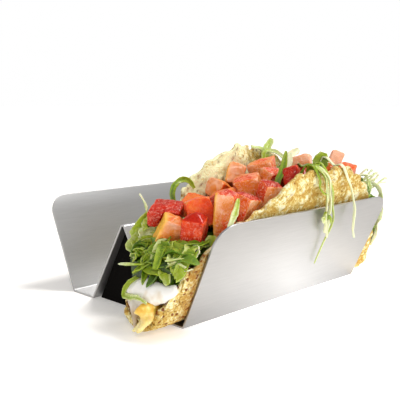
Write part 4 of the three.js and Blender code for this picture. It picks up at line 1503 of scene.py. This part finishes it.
@dataclass
class Lettuce:
    """The heap of shredded lettuce: a core with loose shreds over it."""

    tortilla: TortillaForm
    filling: FillingForm
    finish: ShreddedLeaf
    thickness: float = 0.4
    least_tip: float = 0.06  # share of its width that a pointed shred keeps
    cut_paleness: float = 0.16  # how much paler its cut edges are
    stations: int = 96  # rings of the core
    across: int = 20
    up_wall: int = 10
    tries_along: int = 90  # shreds tried along the near wall
    tries_down: int = 36  # shreds tried down each stretch of the sides
    over_end: int = 40  # shreds down over the far end
    loose: int = 420  # small shreds all over
    loose_tries: int = 12  # for each loose shred
    streak: float = 2.4  # mm between the streaks on top of the core
    streak_height: float = 0.9  # mm
    loose_from: float = -65.0  # X at which loose shreds start
    loose_to: float = 58.0  # and end
    cream_from: float = -56.0  # X before which loose shreds keep above the cream
    over_cream: float = 19.5  # Z above which they then keep
    leaf_from: float = -47.0  # X before which loose shreds keep to the near side of the ragged leaf
    leaf_side: float = 7.0  # Y at which that leaf starts
    die_share: float = 0.92  # of a die's half sizes, which loose shreds keep out of
    wall_gap: float = 0.6  # mm between a loose shred's middle and a wall

    def build(self) -> list[bpy.types.Object]:
        """Makes the core and the shreds, and joins them into one piece.

        Returns:
            The heap, in a list.
        """
        leaves = self.leaf_piece([*self.solid_strands(), *self.loose_strands()])
        core = self.core()
        alone(leaves)
        core.select_set(True)
        bpy.ops.object.join()
        leaves.name = "shredded_lettuce"
        bpy.ops.object.shade_smooth_by_angle(angle=math.radians(60))
        return [handed_over(leaves, self.finish.build(), ["lettuce"])]

    def core(self) -> bpy.types.Object:
        """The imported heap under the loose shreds.

        Returns:
            The core, with its paleness stored on it.
        """
        form, filling = self.tortilla, self.filling
        rings = []
        for x in np.linspace(filling.lettuce_start, filling.end, self.stations):
            low, high = (
                {side: form.wall_to(side, x, layer(x, side.value))[0] for side in Side}
                for layer in (filling.lettuce_bottom, filling.lettuce_top)
            )
            up = np.linspace(low[Side.FAR], high[Side.FAR], self.up_wall, endpoint=False)
            down = np.linspace(high[Side.NEAR], low[Side.NEAR], self.up_wall + 1)[1:-1]
            over = self.between(x, high[Side.FAR], high[Side.NEAR], filling.lettuce_top)
            under = self.between(x, low[Side.NEAR], low[Side.FAR], filling.lettuce_bottom)[:-1]
            walls = [form.filling_face(x, length) for length in (up, down)]
            rings.append(np.concatenate([walls[0], over, walls[1], under]))
        piece = made_piece("lettuce_core", *loft(rings))
        edit_all(piece, bpy.ops.mesh.normals_make_consistent, inside=False)
        facing_up = rise(vertex_normals(piece)[:, 2], 0.1, 0.4)
        streaks = uneven(vertex_places(piece) * (0.6, 1.0, 1.0), self.streak, 6.0)
        raise_surface(piece, streaks * facing_up * self.streak_height)
        write_values(piece, "paleness", np.clip(0.3 * streaks - 0.06, 0, 1))
        return piece

    def between(self, x: float, from_s: float, to_s: float, height: Callable) -> np.ndarray:
        """Points across the taco, from one wall to the other.

        Args:
            x: Place along the fold, in mm.
            from_s: Length up the wall at which they start, with its sign, in mm.
            to_s: Length up the other wall at which they end.
            height: Height of a layer at x and a place across it.

        Returns:
            The points, in mm, one a row.
        """
        start, end = (self.tortilla.filling_face(x, s)[0, 1] for s in (from_s, to_s))
        place = math.copysign(1.0, from_s)
        shares = np.linspace(0, 1, self.across + 1)
        return np.array([(x, lerp(start, end, t), height(x, place * (1 - 2 * t))) for t in shares])

    def leaf_piece(self, strands: list[Strand]) -> bpy.types.Object:
        """One mesh with all the strands as thin wavy leaf.

        Args:
            strands: What to make.

        Returns:
            The piece, with each strand's paleness stored on it.
        """
        points, faces, pale = [], [], []
        for number, strand in enumerate(strands):
            first, row = len(points), strand.across + 1
            made, paleness = self.sheet(strand, Draws(number * 31 + 7))
            points += made
            pale += paleness
            for i, j in np.ndindex(strand.steps, strand.across):
                a = first + i * row + j
                faces.append((a, a + 1, a + row + 1, a + row))
        piece = made_piece("lettuce_shreds", np.array(points), faces)
        write_values(piece, "paleness", np.clip(pale, 0, 1))
        with_modifier(piece, "SOLIDIFY", thickness=self.thickness * MM, offset=0.0)
        return piece

    def sheet(self, strand: Strand, draws: Draws) -> tuple[list[Triple], list[float]]:
        """Lays one strand out as a bent strip.

        Args:
            strand: The strand.
            draws: Where its unevenness comes from.

        Returns:
            Its points in mm, row by row, and the paleness of each.
        """
        centres = curve_points(strand.points, strand.steps + 1)
        tangents = np.gradient(centres, axis=0)
        phases = draws.pair(0, 6.28)
        wave = draws.between(0.5, 0.9)
        rib_place = draws.between(-0.5, 0.5)
        points, pale = [], []
        length = 0.0
        for i, (centre, tangent) in enumerate(zip(centres, tangents)):
            t = i / strand.steps
            if i:
                length += float(np.linalg.norm(centre - centres[i - 1]))
            along = Vector(tangent).normalized()
            side = along.cross(Vector(strand.up)).normalized()
            out = side.cross(along).normalized()
            cos, sin = math.cos(math.radians(strand.twist * t)), math.sin(math.radians(strand.twist * t))
            side, out = side * cos + out * sin, out * cos - side * sin
            taper = lerp(strand.tip, 1.0, math.sin(math.pi * lerp(0.03, 0.97, t)) ** 0.5)
            width = strand.width * max(taper, self.least_tip)
            torn = [1.0 + strand.ragged * draw for draw in draws.pair(-1, 1)]
            skewed = along * strand.slant * 0.5 * width
            for j in range(strand.across + 1):
                v = 2.0 * j / strand.across - 1.0
                edge = phases[0] if v < 0 else phases[1]
                lift = strand.curl * width * (v * v - 0.4)
                lift += strand.ripple * width * v * v * math.sin(length * wave + edge)
                place = Vector(centre) + side * (0.5 * width * v * torn[v > 0]) + skewed * v + out * lift
                points.append(tuple(place))
                rib = strand.rib * math.exp(-(((v - rib_place) / 0.35) ** 2))
                pale.append(lerp(*strand.pale, t) + rib + self.cut_paleness * abs(v) ** 3)
        return points, pale

    def solid_strands(self) -> list[Strand]:
        """The shreds that stand out of the heap or hang from it.

        Returns:
            The shreds.
        """
        return [
            *self.scattered(),
            *self.hanging(),
            *self.spilling(),
            *self.top(),
            *self.far(),
            *self.along_the_wall(),
            *self.down_the_sides(),
            *self.over_the_end(),
        ]

    def scattered(self) -> list[Strand]:
        """Shreds over the heap: each rises out of it, bends over and goes back in.

        Returns:
            The shreds.
        """
        draws = Draws(seed=11)
        strands = []
        count, steps = 17, 3
        for i in range(count):
            x = lerp(-57, 53, (i + draws.one()) / count)
            y = draws.between(-12, 9)
            heading = draws.between(0, 2 * math.pi)
            length = draws.between(14, 25)
            lift = draws.between(1.5, 4.5)
            points = []
            for k in range(steps + 1):
                t = k / steps - 0.5
                px = x + math.cos(heading) * length * t
                py = y + math.sin(heading) * length * t * 0.6
                over = lift * math.cos(math.pi * t) + draws.between(-1, 1)
                points.append((px, py, self.filling.lettuce_top(px, 0) - 1 + over))
            width = draws.between(2.4, 4.4)
            twist = draws.between(-60, 60)
            tint = 0.15 + 0.5 * ((i * 7) % 10) / 10
            strands.append(Strand(points, width, twist=twist, pale=(tint, tint + 0.15)))
        return strands

    def draped(self, climb: list, x: float, down: list, width: float, **look) -> Strand:
        """A shred that climbs out of the heap, crosses the near rim, and hangs down outside it.

        Args:
            climb: Its points inside the shell, in mm.
            x: Where it crosses the rim, in mm.
            down: Its points outside the shell, in mm.
            width: Its width, in mm.
            look: The strand's other fields.

        Returns:
            The shred.
        """
        reach = float(self.tortilla.wall_reach(Side.NEAR, x)[0])
        rim = self.tortilla.point(x, -reach, self.tortilla.thickness / 2)[0]
        before = (lerp(x, climb[-1][0], 0.3), rim[1] + 3, rim[2] + 1.2)
        points = [*climb, before, (x, rim[1], rim[2] + 1.7), *down]
        return Strand(points, width, up=(0, -0.5, 1), steps=24, **look)

    def hanging(self) -> list[Strand]:
        """The shreds that hang over the near wall, the longest down in front of the plate.

        Returns:
            The shreds.
        """
        left = [(0.9, -25.4, 49), (2.2, -25.8, 44), (3, -25.2, 38.5), (4.4, -23.8, 33), (7.4, -21.6, 27)]
        right = [(2.6, -25.5, 49), (4.4, -25.9, 44), (5.2, -25.3, 38.5), (6.6, -23.4, 33), (10.2, -20.4, 25)]
        thread = [(4.8, -26.4, 44), (5.6, -26, 38), (10.8, -23, 31), (12.2, -18.2, 22.6), (13.4, -13.2, 12.7)]
        stem = [(16, -25.6, 46.6), (20, -25.7, 38.3), (22.4, -24.7, 32.9), (24.6, -22.9, 27.5)]
        stem.append((28.4, -21, 22.2))
        hook = [(-1.9, -25.4, 47.7), (-1.7, -25.4, 45), (0.3, -25.8, 42.7), (2.6, -25.9, 42.3)]
        beside = [(-37.6, -18.6, 44), (-40.6, -20.4, 41), (-42.8, -21, 38.4), (-44.8, -21, 35.6)]
        torn = {"curl": 0.3, "ragged": 0.4}
        return [
            self.draped([(2, -15, 41)], -1.8, left, 1.9, tip=0.5, pale=(0.3, 0.8), **torn),
            self.draped([(3.4, -15, 41)], 0.2, right, 1.9, tip=0.6, pale=(0.45, 0.95), **torn),
            self.draped([(4, -15.5, 40)], 3, thread, 0.8, pale=(0.35, 0.6)),
            self.draped([(14, -10, 43), (15.6, -14.6, 54.4)], 15, stem, 1.7, pale=(0.8, 1.0), ragged=0.3),
            self.draped([(-5, -15.5, 38)], -3.4, hook, 1.2, pale=(0.2, 0.4)),
            Strand(beside, 2.0, up=(-0.6, -0.7, 0.4), tip=0.2, pale=(0.45, 0.7)),
            Strand([(5.6, -24.4, 34), (7.4, -23.4, 31.6), (9.4, -22.4, 30.4)], 2.2, pale=(0.3, 0.5)),
            Strand([(3.4, -25, 36), (2.4, -24.6, 33.6), (3.6, -23.8, 31.4)], 1.4, pale=(0.4, 0.7)),
        ]

    def spilling(self) -> list[Strand]:
        """Leaves and strands at the end where the filling spills out.

        Returns:
            The strands.
        """
        out = {"up": (-0.8, -0.3, 0.6)}
        corner = {"up": CORNERWISE}
        loop = [(-53, 4, 21), (-59, 6, 18), (-62.4, 8.6, 14.6), (-64, 8.4, 12), (-65, 4.6, 11.8)]
        loop += [(-66.4, -1, 13.2), (-66.6, -6, 12.4)]
        over_back = [(-45, 5, 26), (-48.6, 10.5, 31), (-52, 13, 29.6), (-54, 13.6, 26), (-53, 13.8, 22.4)]
        beside = [(-53, 1, 23), (-60.6, 3.5, 22.4), (-62, 8, 21.6), (-62.4, 12.8, 21.2)]
        thin = [(-49, 7, 24), (-49.6, 14.8, 30), (-47.8, 15.6, 36), (-48.2, 15.8, 40), (-50, 16.6, 43.4)]
        leaf = [(-46, 9, 25), (-54, 7, 26.8), (-56, 1, 27.6), (-55, -5, 26), (-50, -10, 24.6)]
        lower_leaf = [(-50, 6, 25), (-58, 3, 23.6), (-60, -4, 22), (-57, -10, 23)]
        flap = [(-46, 10.4, 36), (-51, 12.6, 31), (-53.4, 13, 25)]
        rib = [(-58.6, -9.4, 21.4), (-57.2, -12, 21.8), (-54, -13.4, 22.8)]
        by_plate = [(-45.8, -13.8, 25.2), (-45.2, -13.8, 29), (-44.2, -13.2, 32)]
        by_rim = [(-52.8, -12.8, 25.4), (-51.8, -13, 28), (-51.2, -12.6, 29.8)]
        return [
            Strand(loop, 1.9, up=(-1, -0.4, 0.5), tip=0.1, pale=(0.35, 0.55), steps=24, ragged=0.25),
            Strand(beside, 2.2, pale=(0.2, 0.7)),
            Strand(over_back, 6.6, tip=0.5, pale=(0.4, 0.5), across=7, steps=20, ragged=0.3, **corner),
            Strand([(-46, 11, 35), (-48.4, 13, 34), (-50.6, 13.4, 31.4)], 3.4, pale=(0.35, 0.5), **corner),
            Strand(flap, 9, pale=(0.4, 0.5), across=7, **corner),
            *self.lobes(),
            Strand(thin, 1.8, pale=(0.5, 0.7)),
            Strand(leaf, 6, steps=20, across=5, pale=(0.02, 0.3), curl=0.3, **out),
            Strand(lower_leaf, 5.5, pale=(0.2, 0.35), **out),
            Strand([(-48, -4, 27), (-55, -7, 26.5), (-59.5, -10, 24.5)], 4.5, pale=(0.3, 0.55)),
            Strand([(-52, -2, 24), (-60, 2, 22), (-62.6, 5, 19.5)], 4.5, pale=(0.15, 0.35)),
            Strand([(-52, 0, 23), (-59, -6, 22), (-62, -11, 18.6)], 3.6, pale=(0.3, 0.5), **out),
            Strand([(-46, -8, 28), (-52, -12, 27.5), (-56, -13.5, 25)], 5, pale=(0.1, 0.3)),
            Strand([(-60, -8, 25.4), (-57, -12, 25.9), (-53, -14, 26.8)], 3, tip=0.8, pale=(0.55, 0.45)),
            Strand(rib, 3.4, tip=0.9, pale=(0.8, 0.9)),
            Strand(by_plate, 4.2, pale=(0.4, 0.5), **out),
            Strand(by_rim, 3.2, pale=(0.6, 0.7), **out),
            *self.tips_on_cream(),
        ]

    def lobes(self) -> list[Strand]:
        """Ragged pale lobes of the leaf that hangs out on the far side of the spilling end.

        Returns:
            The lobes, from the top down.
        """
        draws = Draws(seed=13)
        strands = []
        steps = 6
        for k in range(steps + 1):
            x, z = lerp(-47.5, -51, k / steps), lerp(35, 24.5, k / steps)
            reach, drop = draws.between(4, 6.5), draws.between(0, 2)
            points = [(x, 8, z), (x - 0.6 * reach, 11.4, z - 0.6), (x - reach, 11.6, z - 2.6 - drop)]
            look = {"slant": draws.between(-0.8, 0.8), "tip": draws.between(0.1, 0.8), "ripple": 0.2}
            tint, width = draws.between(0.36, 0.6), draws.between(3, 4.6)
            look |= {"up": CORNERWISE, "pale": (tint, tint + 0.1), "ragged": 0.35}
            strands.append(Strand(points, width, **look))
        return strands

    def tips_on_cream(self) -> list[Strand]:
        """Pointed shreds that lie from the heap down over the top of the cream.

        Returns:
            The shreds, from the far side to the near one.
        """
        draws = Draws(seed=77)
        strands = []
        for y, end in ((6, -1), (1, -3.2), (3, -4.6), (-3, -4.4), (-3, -6.4), (-8, -8.8), (-10, -11)):
            reach = -65.4 + 0.9 * max(0.0, -end - 5.0) + draws.between(0, 3.4)
            drop = 17.4 + draws.between(-0.5, 0.6)
            points = [(-52, y, 22.6), (lerp(-52, reach, 0.6), lerp(y, end, 0.5), 20.4), (reach, end, drop)]
            tint, slant = draws.between(-0.1, 0.3), draws.between(-0.8, 0.8)
            width = draws.between(2.2, 4.4)
            strands.append(Strand(points, width, tip=-0.4, pale=(tint, tint + 0.1), slant=slant))
        return strands

    def top(self) -> list[Strand]:
        """Leaves and strands that stand up out of the top of the heap.

        Returns:
            The strands.
        """
        corner = {"up": CORNERWISE}
        back, side = {"up": (-0.3, -0.5, 1)}, {"up": (-0.6, -0.6, 0.5)}
        loop = [(-37.8, 6, 31), (-37.8, 12, 38.5), (-37, 13.4, 44), (-33, 14, 47), (-28.6, 13.8, 46.4)]
        loop.append((-26.6, 13, 43.6))
        curled = [(14, 7, 42), (15, 12.5, 50), (13.5, 14.5, 55.5), (8.5, 15.5, 57)]
        tall = [(12, 8, 42), (15.5, 13.5, 54), (19.5, 15.5, 57.7), (21.6, 15.6, 59.8)]
        ribbon = [(14, -4, 43), (9.4, -8.5, 51), (5.6, -14.6, 51.2), (1.6, -20, 51.8), (0, -23, 53)]
        upright = [(-8, -12, 38), (-9.6, -12.4, 46), (-5.8, -11.6, 50.6), (-3.8, -11, 54), (-3, -11, 57.4)]
        bent = [(10, 9, 42), (13, 12.5, 55), (18, 11.6, 55), (24, 10, 51.3), (27, 8, 44)]
        rib = [(3, -5, 43), (4, -5.5, 49), (6.6, -5.4, 53), (7.6, -4.6, 55.8)]
        leaf = [(13, -10, 43), (14.4, -13, 50), (15.6, -14.5, 56)]
        return [
            Strand(loop, 2, pale=(0.15, 0.4), steps=18, **corner),
            Strand(curled, 3.4, pale=(0.35, 0.6), **back),
            Strand(tall, 3, pale=(0.4, 0.6), **side),
            Strand(bent, 1.8, pale=(0.4, 0.8), steps=18, **side),
            Strand(upright, 2.3, tip=0, pale=(0.05, 0.4), **corner),
            Strand(rib, 2.2, pale=(0.9, 1.0), **corner),
            Strand([(20, 5, 43), (25, 8.5, 52.6), (30.6, 8.4, 55.2)], 3, pale=(0.8, 1.0), **corner),
            Strand(ribbon, 3.4, pale=(0.05, 0.35), steps=16),
            Strand(leaf, 5.6, pale=(0.02, 0.45), across=5, **corner),
        ]

    def far(self) -> list[Strand]:
        """Strands that droop out of the far end, past the end of the plate.

        Returns:
            The strands.
        """
        far = {"up": (1, -0.5, 0.3)}
        fringe = [(44, -8, 38), (50, -14, 41.5), (54, -17.4, 37), (56, -16.4, 30), (57.4, -14, 21)]
        fringe.append((58, -11, 13))
        beside = [(46, -4, 35), (57, -9, 33), (60.6, -11, 24), (60.6, -9, 13)]
        over_rim = [(42, -9, 40), (46, -14, 45), (46.4, -16.6, 40), (44, -17.4, 36.6)]
        return [
            Strand(fringe, 2.4, pale=(0.9, 1.0), steps=20, ripple=0.3, ragged=0.5, **far),
            Strand(beside, 3, pale=(0.8, 1.0), ragged=0.5, **far),
            *self.wisps(),
            Strand(over_rim, 2, pale=(0.3, 0.8)),
            Strand([(46, -6, 36), (52, -11, 41), (57, -13.2, 42.6)], 2.2, pale=(0.5, 0.9)),
            Strand([(44, 4, 37), (54, 8, 33), (60, 8, 25)], 3.4, pale=(0.3, 0.5), **far),
        ]

    def wisps(self) -> list[Strand]:
        """Thin pale ends of shreds that stick out over the near wall at the far end.

        Returns:
            The wisps, towards the far end.
        """
        draws = Draws(seed=5)
        strands = []
        for k in range(10):
            x, z = 39 + 1.7 * k, 45.5 - 0.6 * k
            y = -14.5 - draws.between(0, 2.5)
            out, over = draws.between(2, 7), draws.between(-1, 4.5)
            points = [(x - 3, y + 4, z - 4), (x, y, z), (x + 0.6 * out, y - 2, z + over)]
            points.append((x + out, y - 1, z + 0.7 * over))
            strands.append(Strand(points, draws.between(0.6, 1.1), tip=0.1, pale=(0.5, 0.9), steps=8))
        return strands

    def along_the_wall(self) -> list[Strand]:
        """Shreds that lie along the inside of the near wall, behind its edge.

        Returns:
            Those that are clear of the dice.
        """
        draws = Draws(seed=606)
        strands = []
        for _ in range(self.tries_along):
            x, length = draws.between(-30, 44), draws.between(8, 15)
            place, turn = draws.between(0.45, 0.98), draws.between(-0.25, 0.25)
            tint, lift = draws.between(-0.05, 0.45), draws.between(0.4, 1.6)
            points = []
            for t in (-0.5, 0.0, 0.5):
                px, share = x + length * t, min(place + turn * t, 0.98)
                top = self.filling.lettuce_top(px, -share)
                edge = self.tortilla.wall_to(Side.NEAR, px, top)[0]
                wall = self.tortilla.filling_face(px, edge)[0]
                points.append((px, wall[1] * share, top + lift * (1.2 - 2 * abs(t))))
            look = {"twist": draws.between(-30, 30), "slant": draws.between(-0.9, 0.9)}
            look |= {"pale": (tint, tint + 0.15), "steps": 7, "across": 2}
            if self.is_clear(points):
                strands.append(Strand(points, draws.between(1.4, 3.6), **look))
        return strands

    def down_the_sides(self) -> list[Strand]:
        """Shreds that hang down the sides of the heap, where it stands over the tortilla's edge.

        Returns:
            The shreds.
        """
        draws = Draws(seed=404)
        form = self.tortilla
        strands = []
        stretches = ((Side.FAR, -59, -45), (Side.FAR, 26, 57), (Side.NEAR, 24, 57))
        for side, start, end in (stretch for stretch in stretches for _ in range(self.tries_down)):
            x = draws.between(start, end)
            drift, reach = draws.between(-5, 5), draws.between(0.4, 1.0)
            width, tint = draws.between(1.4, 4.0), draws.between(-0.05, 0.45)
            top = self.filling.lettuce_top(x, side.value)
            edge = form.wall_to(side, x, top)[0]
            rim = side.value * (float(form.wall_reach(side, x)[0]) + 1.5)
            if abs(edge) < abs(rim):
                continue
            upper = form.filling_face(x + 0.4 * drift, edge)[0] + (0, 0.5 * side.value, 0.6)
            lower = form.filling_face(x + drift, lerp(edge, rim, reach))[0] + (0, 0.6 * side.value, 0.3)
            points = [(x - 0.5 * drift, upper[1] - 4.5 * side.value, top + 0.8), tuple(upper), tuple(lower)]
            look = {"up": (0, side.value, 0.3), "pale": (tint, tint + 0.1), "tip": draws.between(0.1, 0.9)}
            strands.append(Strand(points, width, ragged=0.25, steps=8, across=2, **look))
        return strands

    def over_the_end(self) -> list[Strand]:
        """Shreds that hang down over the heap's far end.

        Returns:
            The shreds.
        """
        draws = Draws(seed=909)
        strands = []
        for _ in range(self.over_end):
            y, drift = draws.between(-9, 7), draws.between(-8, 8)
            tint, low = draws.between(0.15, 0.75), draws.between(14.5, 22)
            x, out = draws.between(44, 52), draws.between(-0.6, 1.4)
            top = self.filling.lettuce_top(x, 0) + 1.0
            half = self.filling.lettuce_top(x + 4.5, 0) + out
            points = [(x, y, top), (x + 4.5, y + 0.4 * drift, half), (58, y + 0.7 * drift, 21.8 + out)]
            points.append((58.7 + 0.3 * out, y + drift, low))
            look = {"up": (1, 0, 0.5), "pale": (tint, tint + 0.1), "tip": draws.between(0.1, 0.9)}
            width = draws.between(1.4, 3.6)
            strands.append(Strand(points, width, ragged=0.25, steps=9, across=2, **look))
        return strands

    def loose_strands(self) -> list[Strand]:
        """Smaller shreds all over the heap, clear of the dice and of the walls.

        Returns:
            The shreds.
        """
        draws = Draws(seed=2024)
        strands = []
        for _ in range(self.loose_tries * self.loose):
            if len(strands) == self.loose:
                break
            spill = draws.one() < 0.3
            x = draws.between(-62, -46) if spill else draws.between(-52, 54)
            y = draws.between(-12, 11)
            heading = draws.between(0, 2 * math.pi)
            length, lift = draws.between(7, 15), draws.between(0.2, 2.2)
            width = draws.between(1.2, 4.2)
            lean = (draws.between(-0.7, 0.3), draws.between(-0.7, 0.4), 1.0)
            twist, tint = draws.between(-40, 40), draws.between(-0.05, 0.5)
            end_tint = tint + draws.between(-0.15, 0.3)
            bend = draws.between(-1.5, 1.5)
            points = []
            for k in range(4):
                t = k / 3 - 0.5
                px = x + math.cos(heading) * length * t - math.sin(heading) * bend * (0.25 - t * t) * 4
                py = y + math.sin(heading) * length * t + math.cos(heading) * bend * (0.25 - t * t) * 4
                pz = self.heap_height(px) + lift * math.cos(math.pi * t) + draws.between(-0.8, 0.6)
                points.append((px, py, pz))
            if self.is_clear(points):
                look = {"up": lean, "twist": twist, "pale": (tint, end_tint), "tip": draws.between(0.2, 1.0)}
                look |= {"slant": draws.between(-0.9, 0.9), "curl": 0.12, "ragged": 0.2}
                strands.append(Strand(points, width, steps=7, across=2, **look))
        return strands

    def heap_height(self, x: float) -> float:
        """Height of the heap at x, sloping away past the spilling end."""
        past = max(0.0, -57.0 - x)
        return self.filling.lettuce_top(x, 0.3) - 1.1 * past

    def is_clear(self, points: list[Triple]) -> bool:
        """Whether a shred keeps out of the dice and inside the walls.

        Args:
            points: What it passes through, in mm.

        Returns:
            Whether it does.
        """
        line = curve_points(points, 7)
        x, y, z = line.T
        past_ends = np.any((x < self.loose_from) | (x > self.loose_to))
        on_cream = np.any((x < self.cream_from) & (z < self.over_cream))
        on_leaf = np.any((x < self.leaf_from) & (y > self.leaf_side))
        if past_ends or on_cream or on_leaf:
            return False
        if any(np.any(np.all(np.abs(die.local(line)) < self.die_share, axis=1)) for die in DICE):
            return False
        for side in Side:
            length = self.tortilla.wall_to(side, x, z)
            wall = self.tortilla.filling_face(x, length)[:, 1]
            under_rim = np.abs(length) < self.tortilla.wall_reach(side, x) + 1
            if np.any(under_rim & (side.value * (y - wall) > -self.wall_gap)):
                return False
        return True


# ---------- studio ----------


@dataclass
class Studio:
    """White table and room, soft light, black cards of painted shade and camera, in metres unless mm is said,
    and turned in degrees.
    """

    camera_at: Triple = (-200.49, -164.0, 76.06)  # mm
    azimuth: float = -44.97
    elevation: float = -8.46
    focal: float = 676.0  # in pixels of the frame
    frame_width: float = 400.0
    sensor: float = 36.0
    table_size: float = 12.0
    room_light: float = 1.0
    ceiling_light: float = 0.5
    floor_glow: float = 0.15
    painted_pool_glow: float = 1.7  # painted light: how much brighter the table glows in front of the outer plate
    painted_pool_at: Triple = (0.012, -0.012, 0.0)
    painted_pool_size: Triple = (0.11, 0.05, 0.11)
    sun_from: Triple = (0.3, -0.12, 0.65)
    sun_strength: float = 2.2
    sun_angle: float = 20.0
    fill_at: Triple = (-0.05, -0.65, 0.14)
    fill_size: float = 0.4
    fill_power: float = 1.2
    glint_at: Triple = (-0.34, -0.32, 0.38)
    glint_size: float = 0.05
    glint_power: float = 0.5
    aim: Triple = (0.0, 0.0, 0.03)  # what the lights are turned to
    shade_card_size: Triple = (0.0976, 0.034, 1.0)  # of a card of 1 by 1, black, laid as painted shade under the ridge
    shade_card_at: Triple = (1.0, 25.5, 0.03)  # mm
    shade_curtain: tuple = ((8.2, 0.1), (42.9, 0.1), (25.5, 31.0))  # corners of a black card of painted shade across the ridge, y and z in mm
    shade_curtain_x: float = -48.0  # mm

    def build(self) -> None:
        """Makes all of it."""
        self.camera()
        self.table()
        self.painted_shade_cards()
        self.lights()

    def camera(self) -> None:
        """The camera, whose picture is square."""
        place = [c * MM for c in self.camera_at]
        turn = (math.radians(90 + self.elevation), 0.0, math.radians(self.azimuth))
        camera = added(bpy.ops.object.camera_add, "Camera", location=place, rotation=turn)
        camera.data.sensor_width = self.sensor
        camera.data.lens = self.sensor * self.focal / self.frame_width
        camera.data.clip_start = 0.005
        bpy.context.scene.camera = camera

    def table(self) -> None:
        """A wide white table, bright enough to run into the white room behind it, with a painted pool of
        light in front of the outer plate.
        """
        floor = added(bpy.ops.mesh.primitive_plane_add, "floor", size=self.table_size)
        # White paper, matt: its own soft glow keeps it as white as the room, with a pale warm shadow.
        paper = {"Roughness": 0.9, "Emission Color": "#ffffff", "Base Color": "#f7f3ee"}
        material, tree, shader = new_finish("white_paper_table_with_painted_pool", paper)
        place = add(tree, "TexCoord", {}, "Object")
        # Painted light: a pool of glow on the table in front of the outer plate, brightest at its middle.
        painted_pool = {"Vector": place, "Location": self.painted_pool_at, "Scale": self.painted_pool_size}
        painted_pool = add(tree, "Mapping", painted_pool, vector_type="TEXTURE")
        painted_pool_nearness = add(tree, "TexGradient", {"Vector": painted_pool}, "Fac", gradient_type="QUADRATIC_SPHERE")
        brightest = self.floor_glow + self.painted_pool_glow
        glow = {"Value": painted_pool_nearness, "To Min": self.floor_glow, "To Max": brightest}
        feed(shader, {"Emission Strength": add(tree, "MapRange", glow)})
        floor.data.materials.append(material)

    def painted_shade_cards(self) -> None:
        """Two black cards of painted shade, under the ridge and across it."""
        # Painted shade: black felt paper that swallows light, put where the inside of the ridge lies in
        # shade, to keep it dark.
        shade_felt = {"Roughness": 0.95, "Specular IOR Level": 0.05, "Base Color": "#0c0a09"}
        shade_felt, _, _ = new_finish("black_felt_painted_shade", shade_felt)
        shade_card = added(bpy.ops.mesh.primitive_plane_add, "painted_shade_card_under_ridge", size=1.0)
        put_vertices(shade_card, vertex_places(shade_card) * self.shade_card_size + self.shade_card_at)
        shade_card.data.materials.append(shade_felt)
        triangle = {"vertices": 3, "radius": 1.0, "fill_type": "NGON"}
        shade_curtain = added(bpy.ops.mesh.primitive_circle_add, "painted_shade_card_across_ridge", **triangle)
        across, up = np.array(self.shade_curtain).T
        put_vertices(shade_curtain, np.column_stack([np.full(3, self.shade_curtain_x), across, up]))
        shade_curtain.data.materials.append(shade_felt)

    def lights(self) -> None:
        """A white room that is darker overhead, a soft sun, a fill from the near side and a small glint."""
        world = bpy.data.worlds.new("white_room")
        world.use_nodes = True
        tree = world.node_tree
        heading = add(tree, "TexCoord", {}, "Generated")
        height = add(tree, "SeparateXYZ", {0: heading}, "Z")
        ends = {"From Min": 0.2, "From Max": 0.5, "To Min": self.room_light, "To Max": self.ceiling_light}
        strength = add(tree, "MapRange", {"Value": height, **ends}, interpolation_type="SMOOTHSTEP")
        feed(tree.nodes["Background"], {"Color": "#ffffff", "Strength": strength})
        bpy.context.scene.world = world
        sun = self.lamp("key", "SUN", self.sun_from, self.sun_strength)
        sun.angle = math.radians(self.sun_angle)
        self.lamp("fill", "AREA", self.fill_at, self.fill_power).size = self.fill_size
        self.lamp("glint", "AREA", self.glint_at, self.glint_power).size = self.glint_size
        bpy.context.scene.view_settings.view_transform = "Standard"

    def lamp(self, name: str, kind: str, place: Triple, strength: float) -> bpy.types.Light:
        """A new light, turned to the taco.

        Args:
            name: Its object's name.
            kind: Its type.
            place: Where it stands.
            strength: Its power, or for a sun its strength.

        Returns:
            The light.
        """
        light = added(bpy.ops.object.light_add, name, type=kind, location=place)
        heading = Vector(self.aim) - Vector(place)
        light.rotation_euler = heading.to_track_quat("-Z", "Y").to_euler()
        light.data.energy = strength
        return light.data


def main() -> None:
    """Builds the studio and every sub-assembly of the taco and its holder."""
    logging.basicConfig(level=logging.INFO, format="%(name)s: %(message)s")
    Studio().build()
    holder = HolderForm()
    tortilla = TortillaForm(holder)
    assemblies = [
        Holder(holder, SatinSteel()),
        Shell(tortilla, FriedTortilla()),
        SoftLayer("melted_cheese", "cheese", "cheese", MELTED_CHEDDAR, 0.45, 3, 0.35, 2.6, 1.3),
        SoftLayer("cream_layer", "sour_cream", "cream", SOUR_CREAM, 0.6, 7, 0.7, 5.0),
        Dice(CutTomato()),
        Lettuce(tortilla, FillingForm(), ShreddedLeaf()),
    ]
    for assembly in assemblies:
        for piece in assembly.build():
            log.info("%s: %d faces of %s", piece.name, len(piece.data.polygons), piece.data.materials[0].name)


if __name__ == "__main__":
    main()
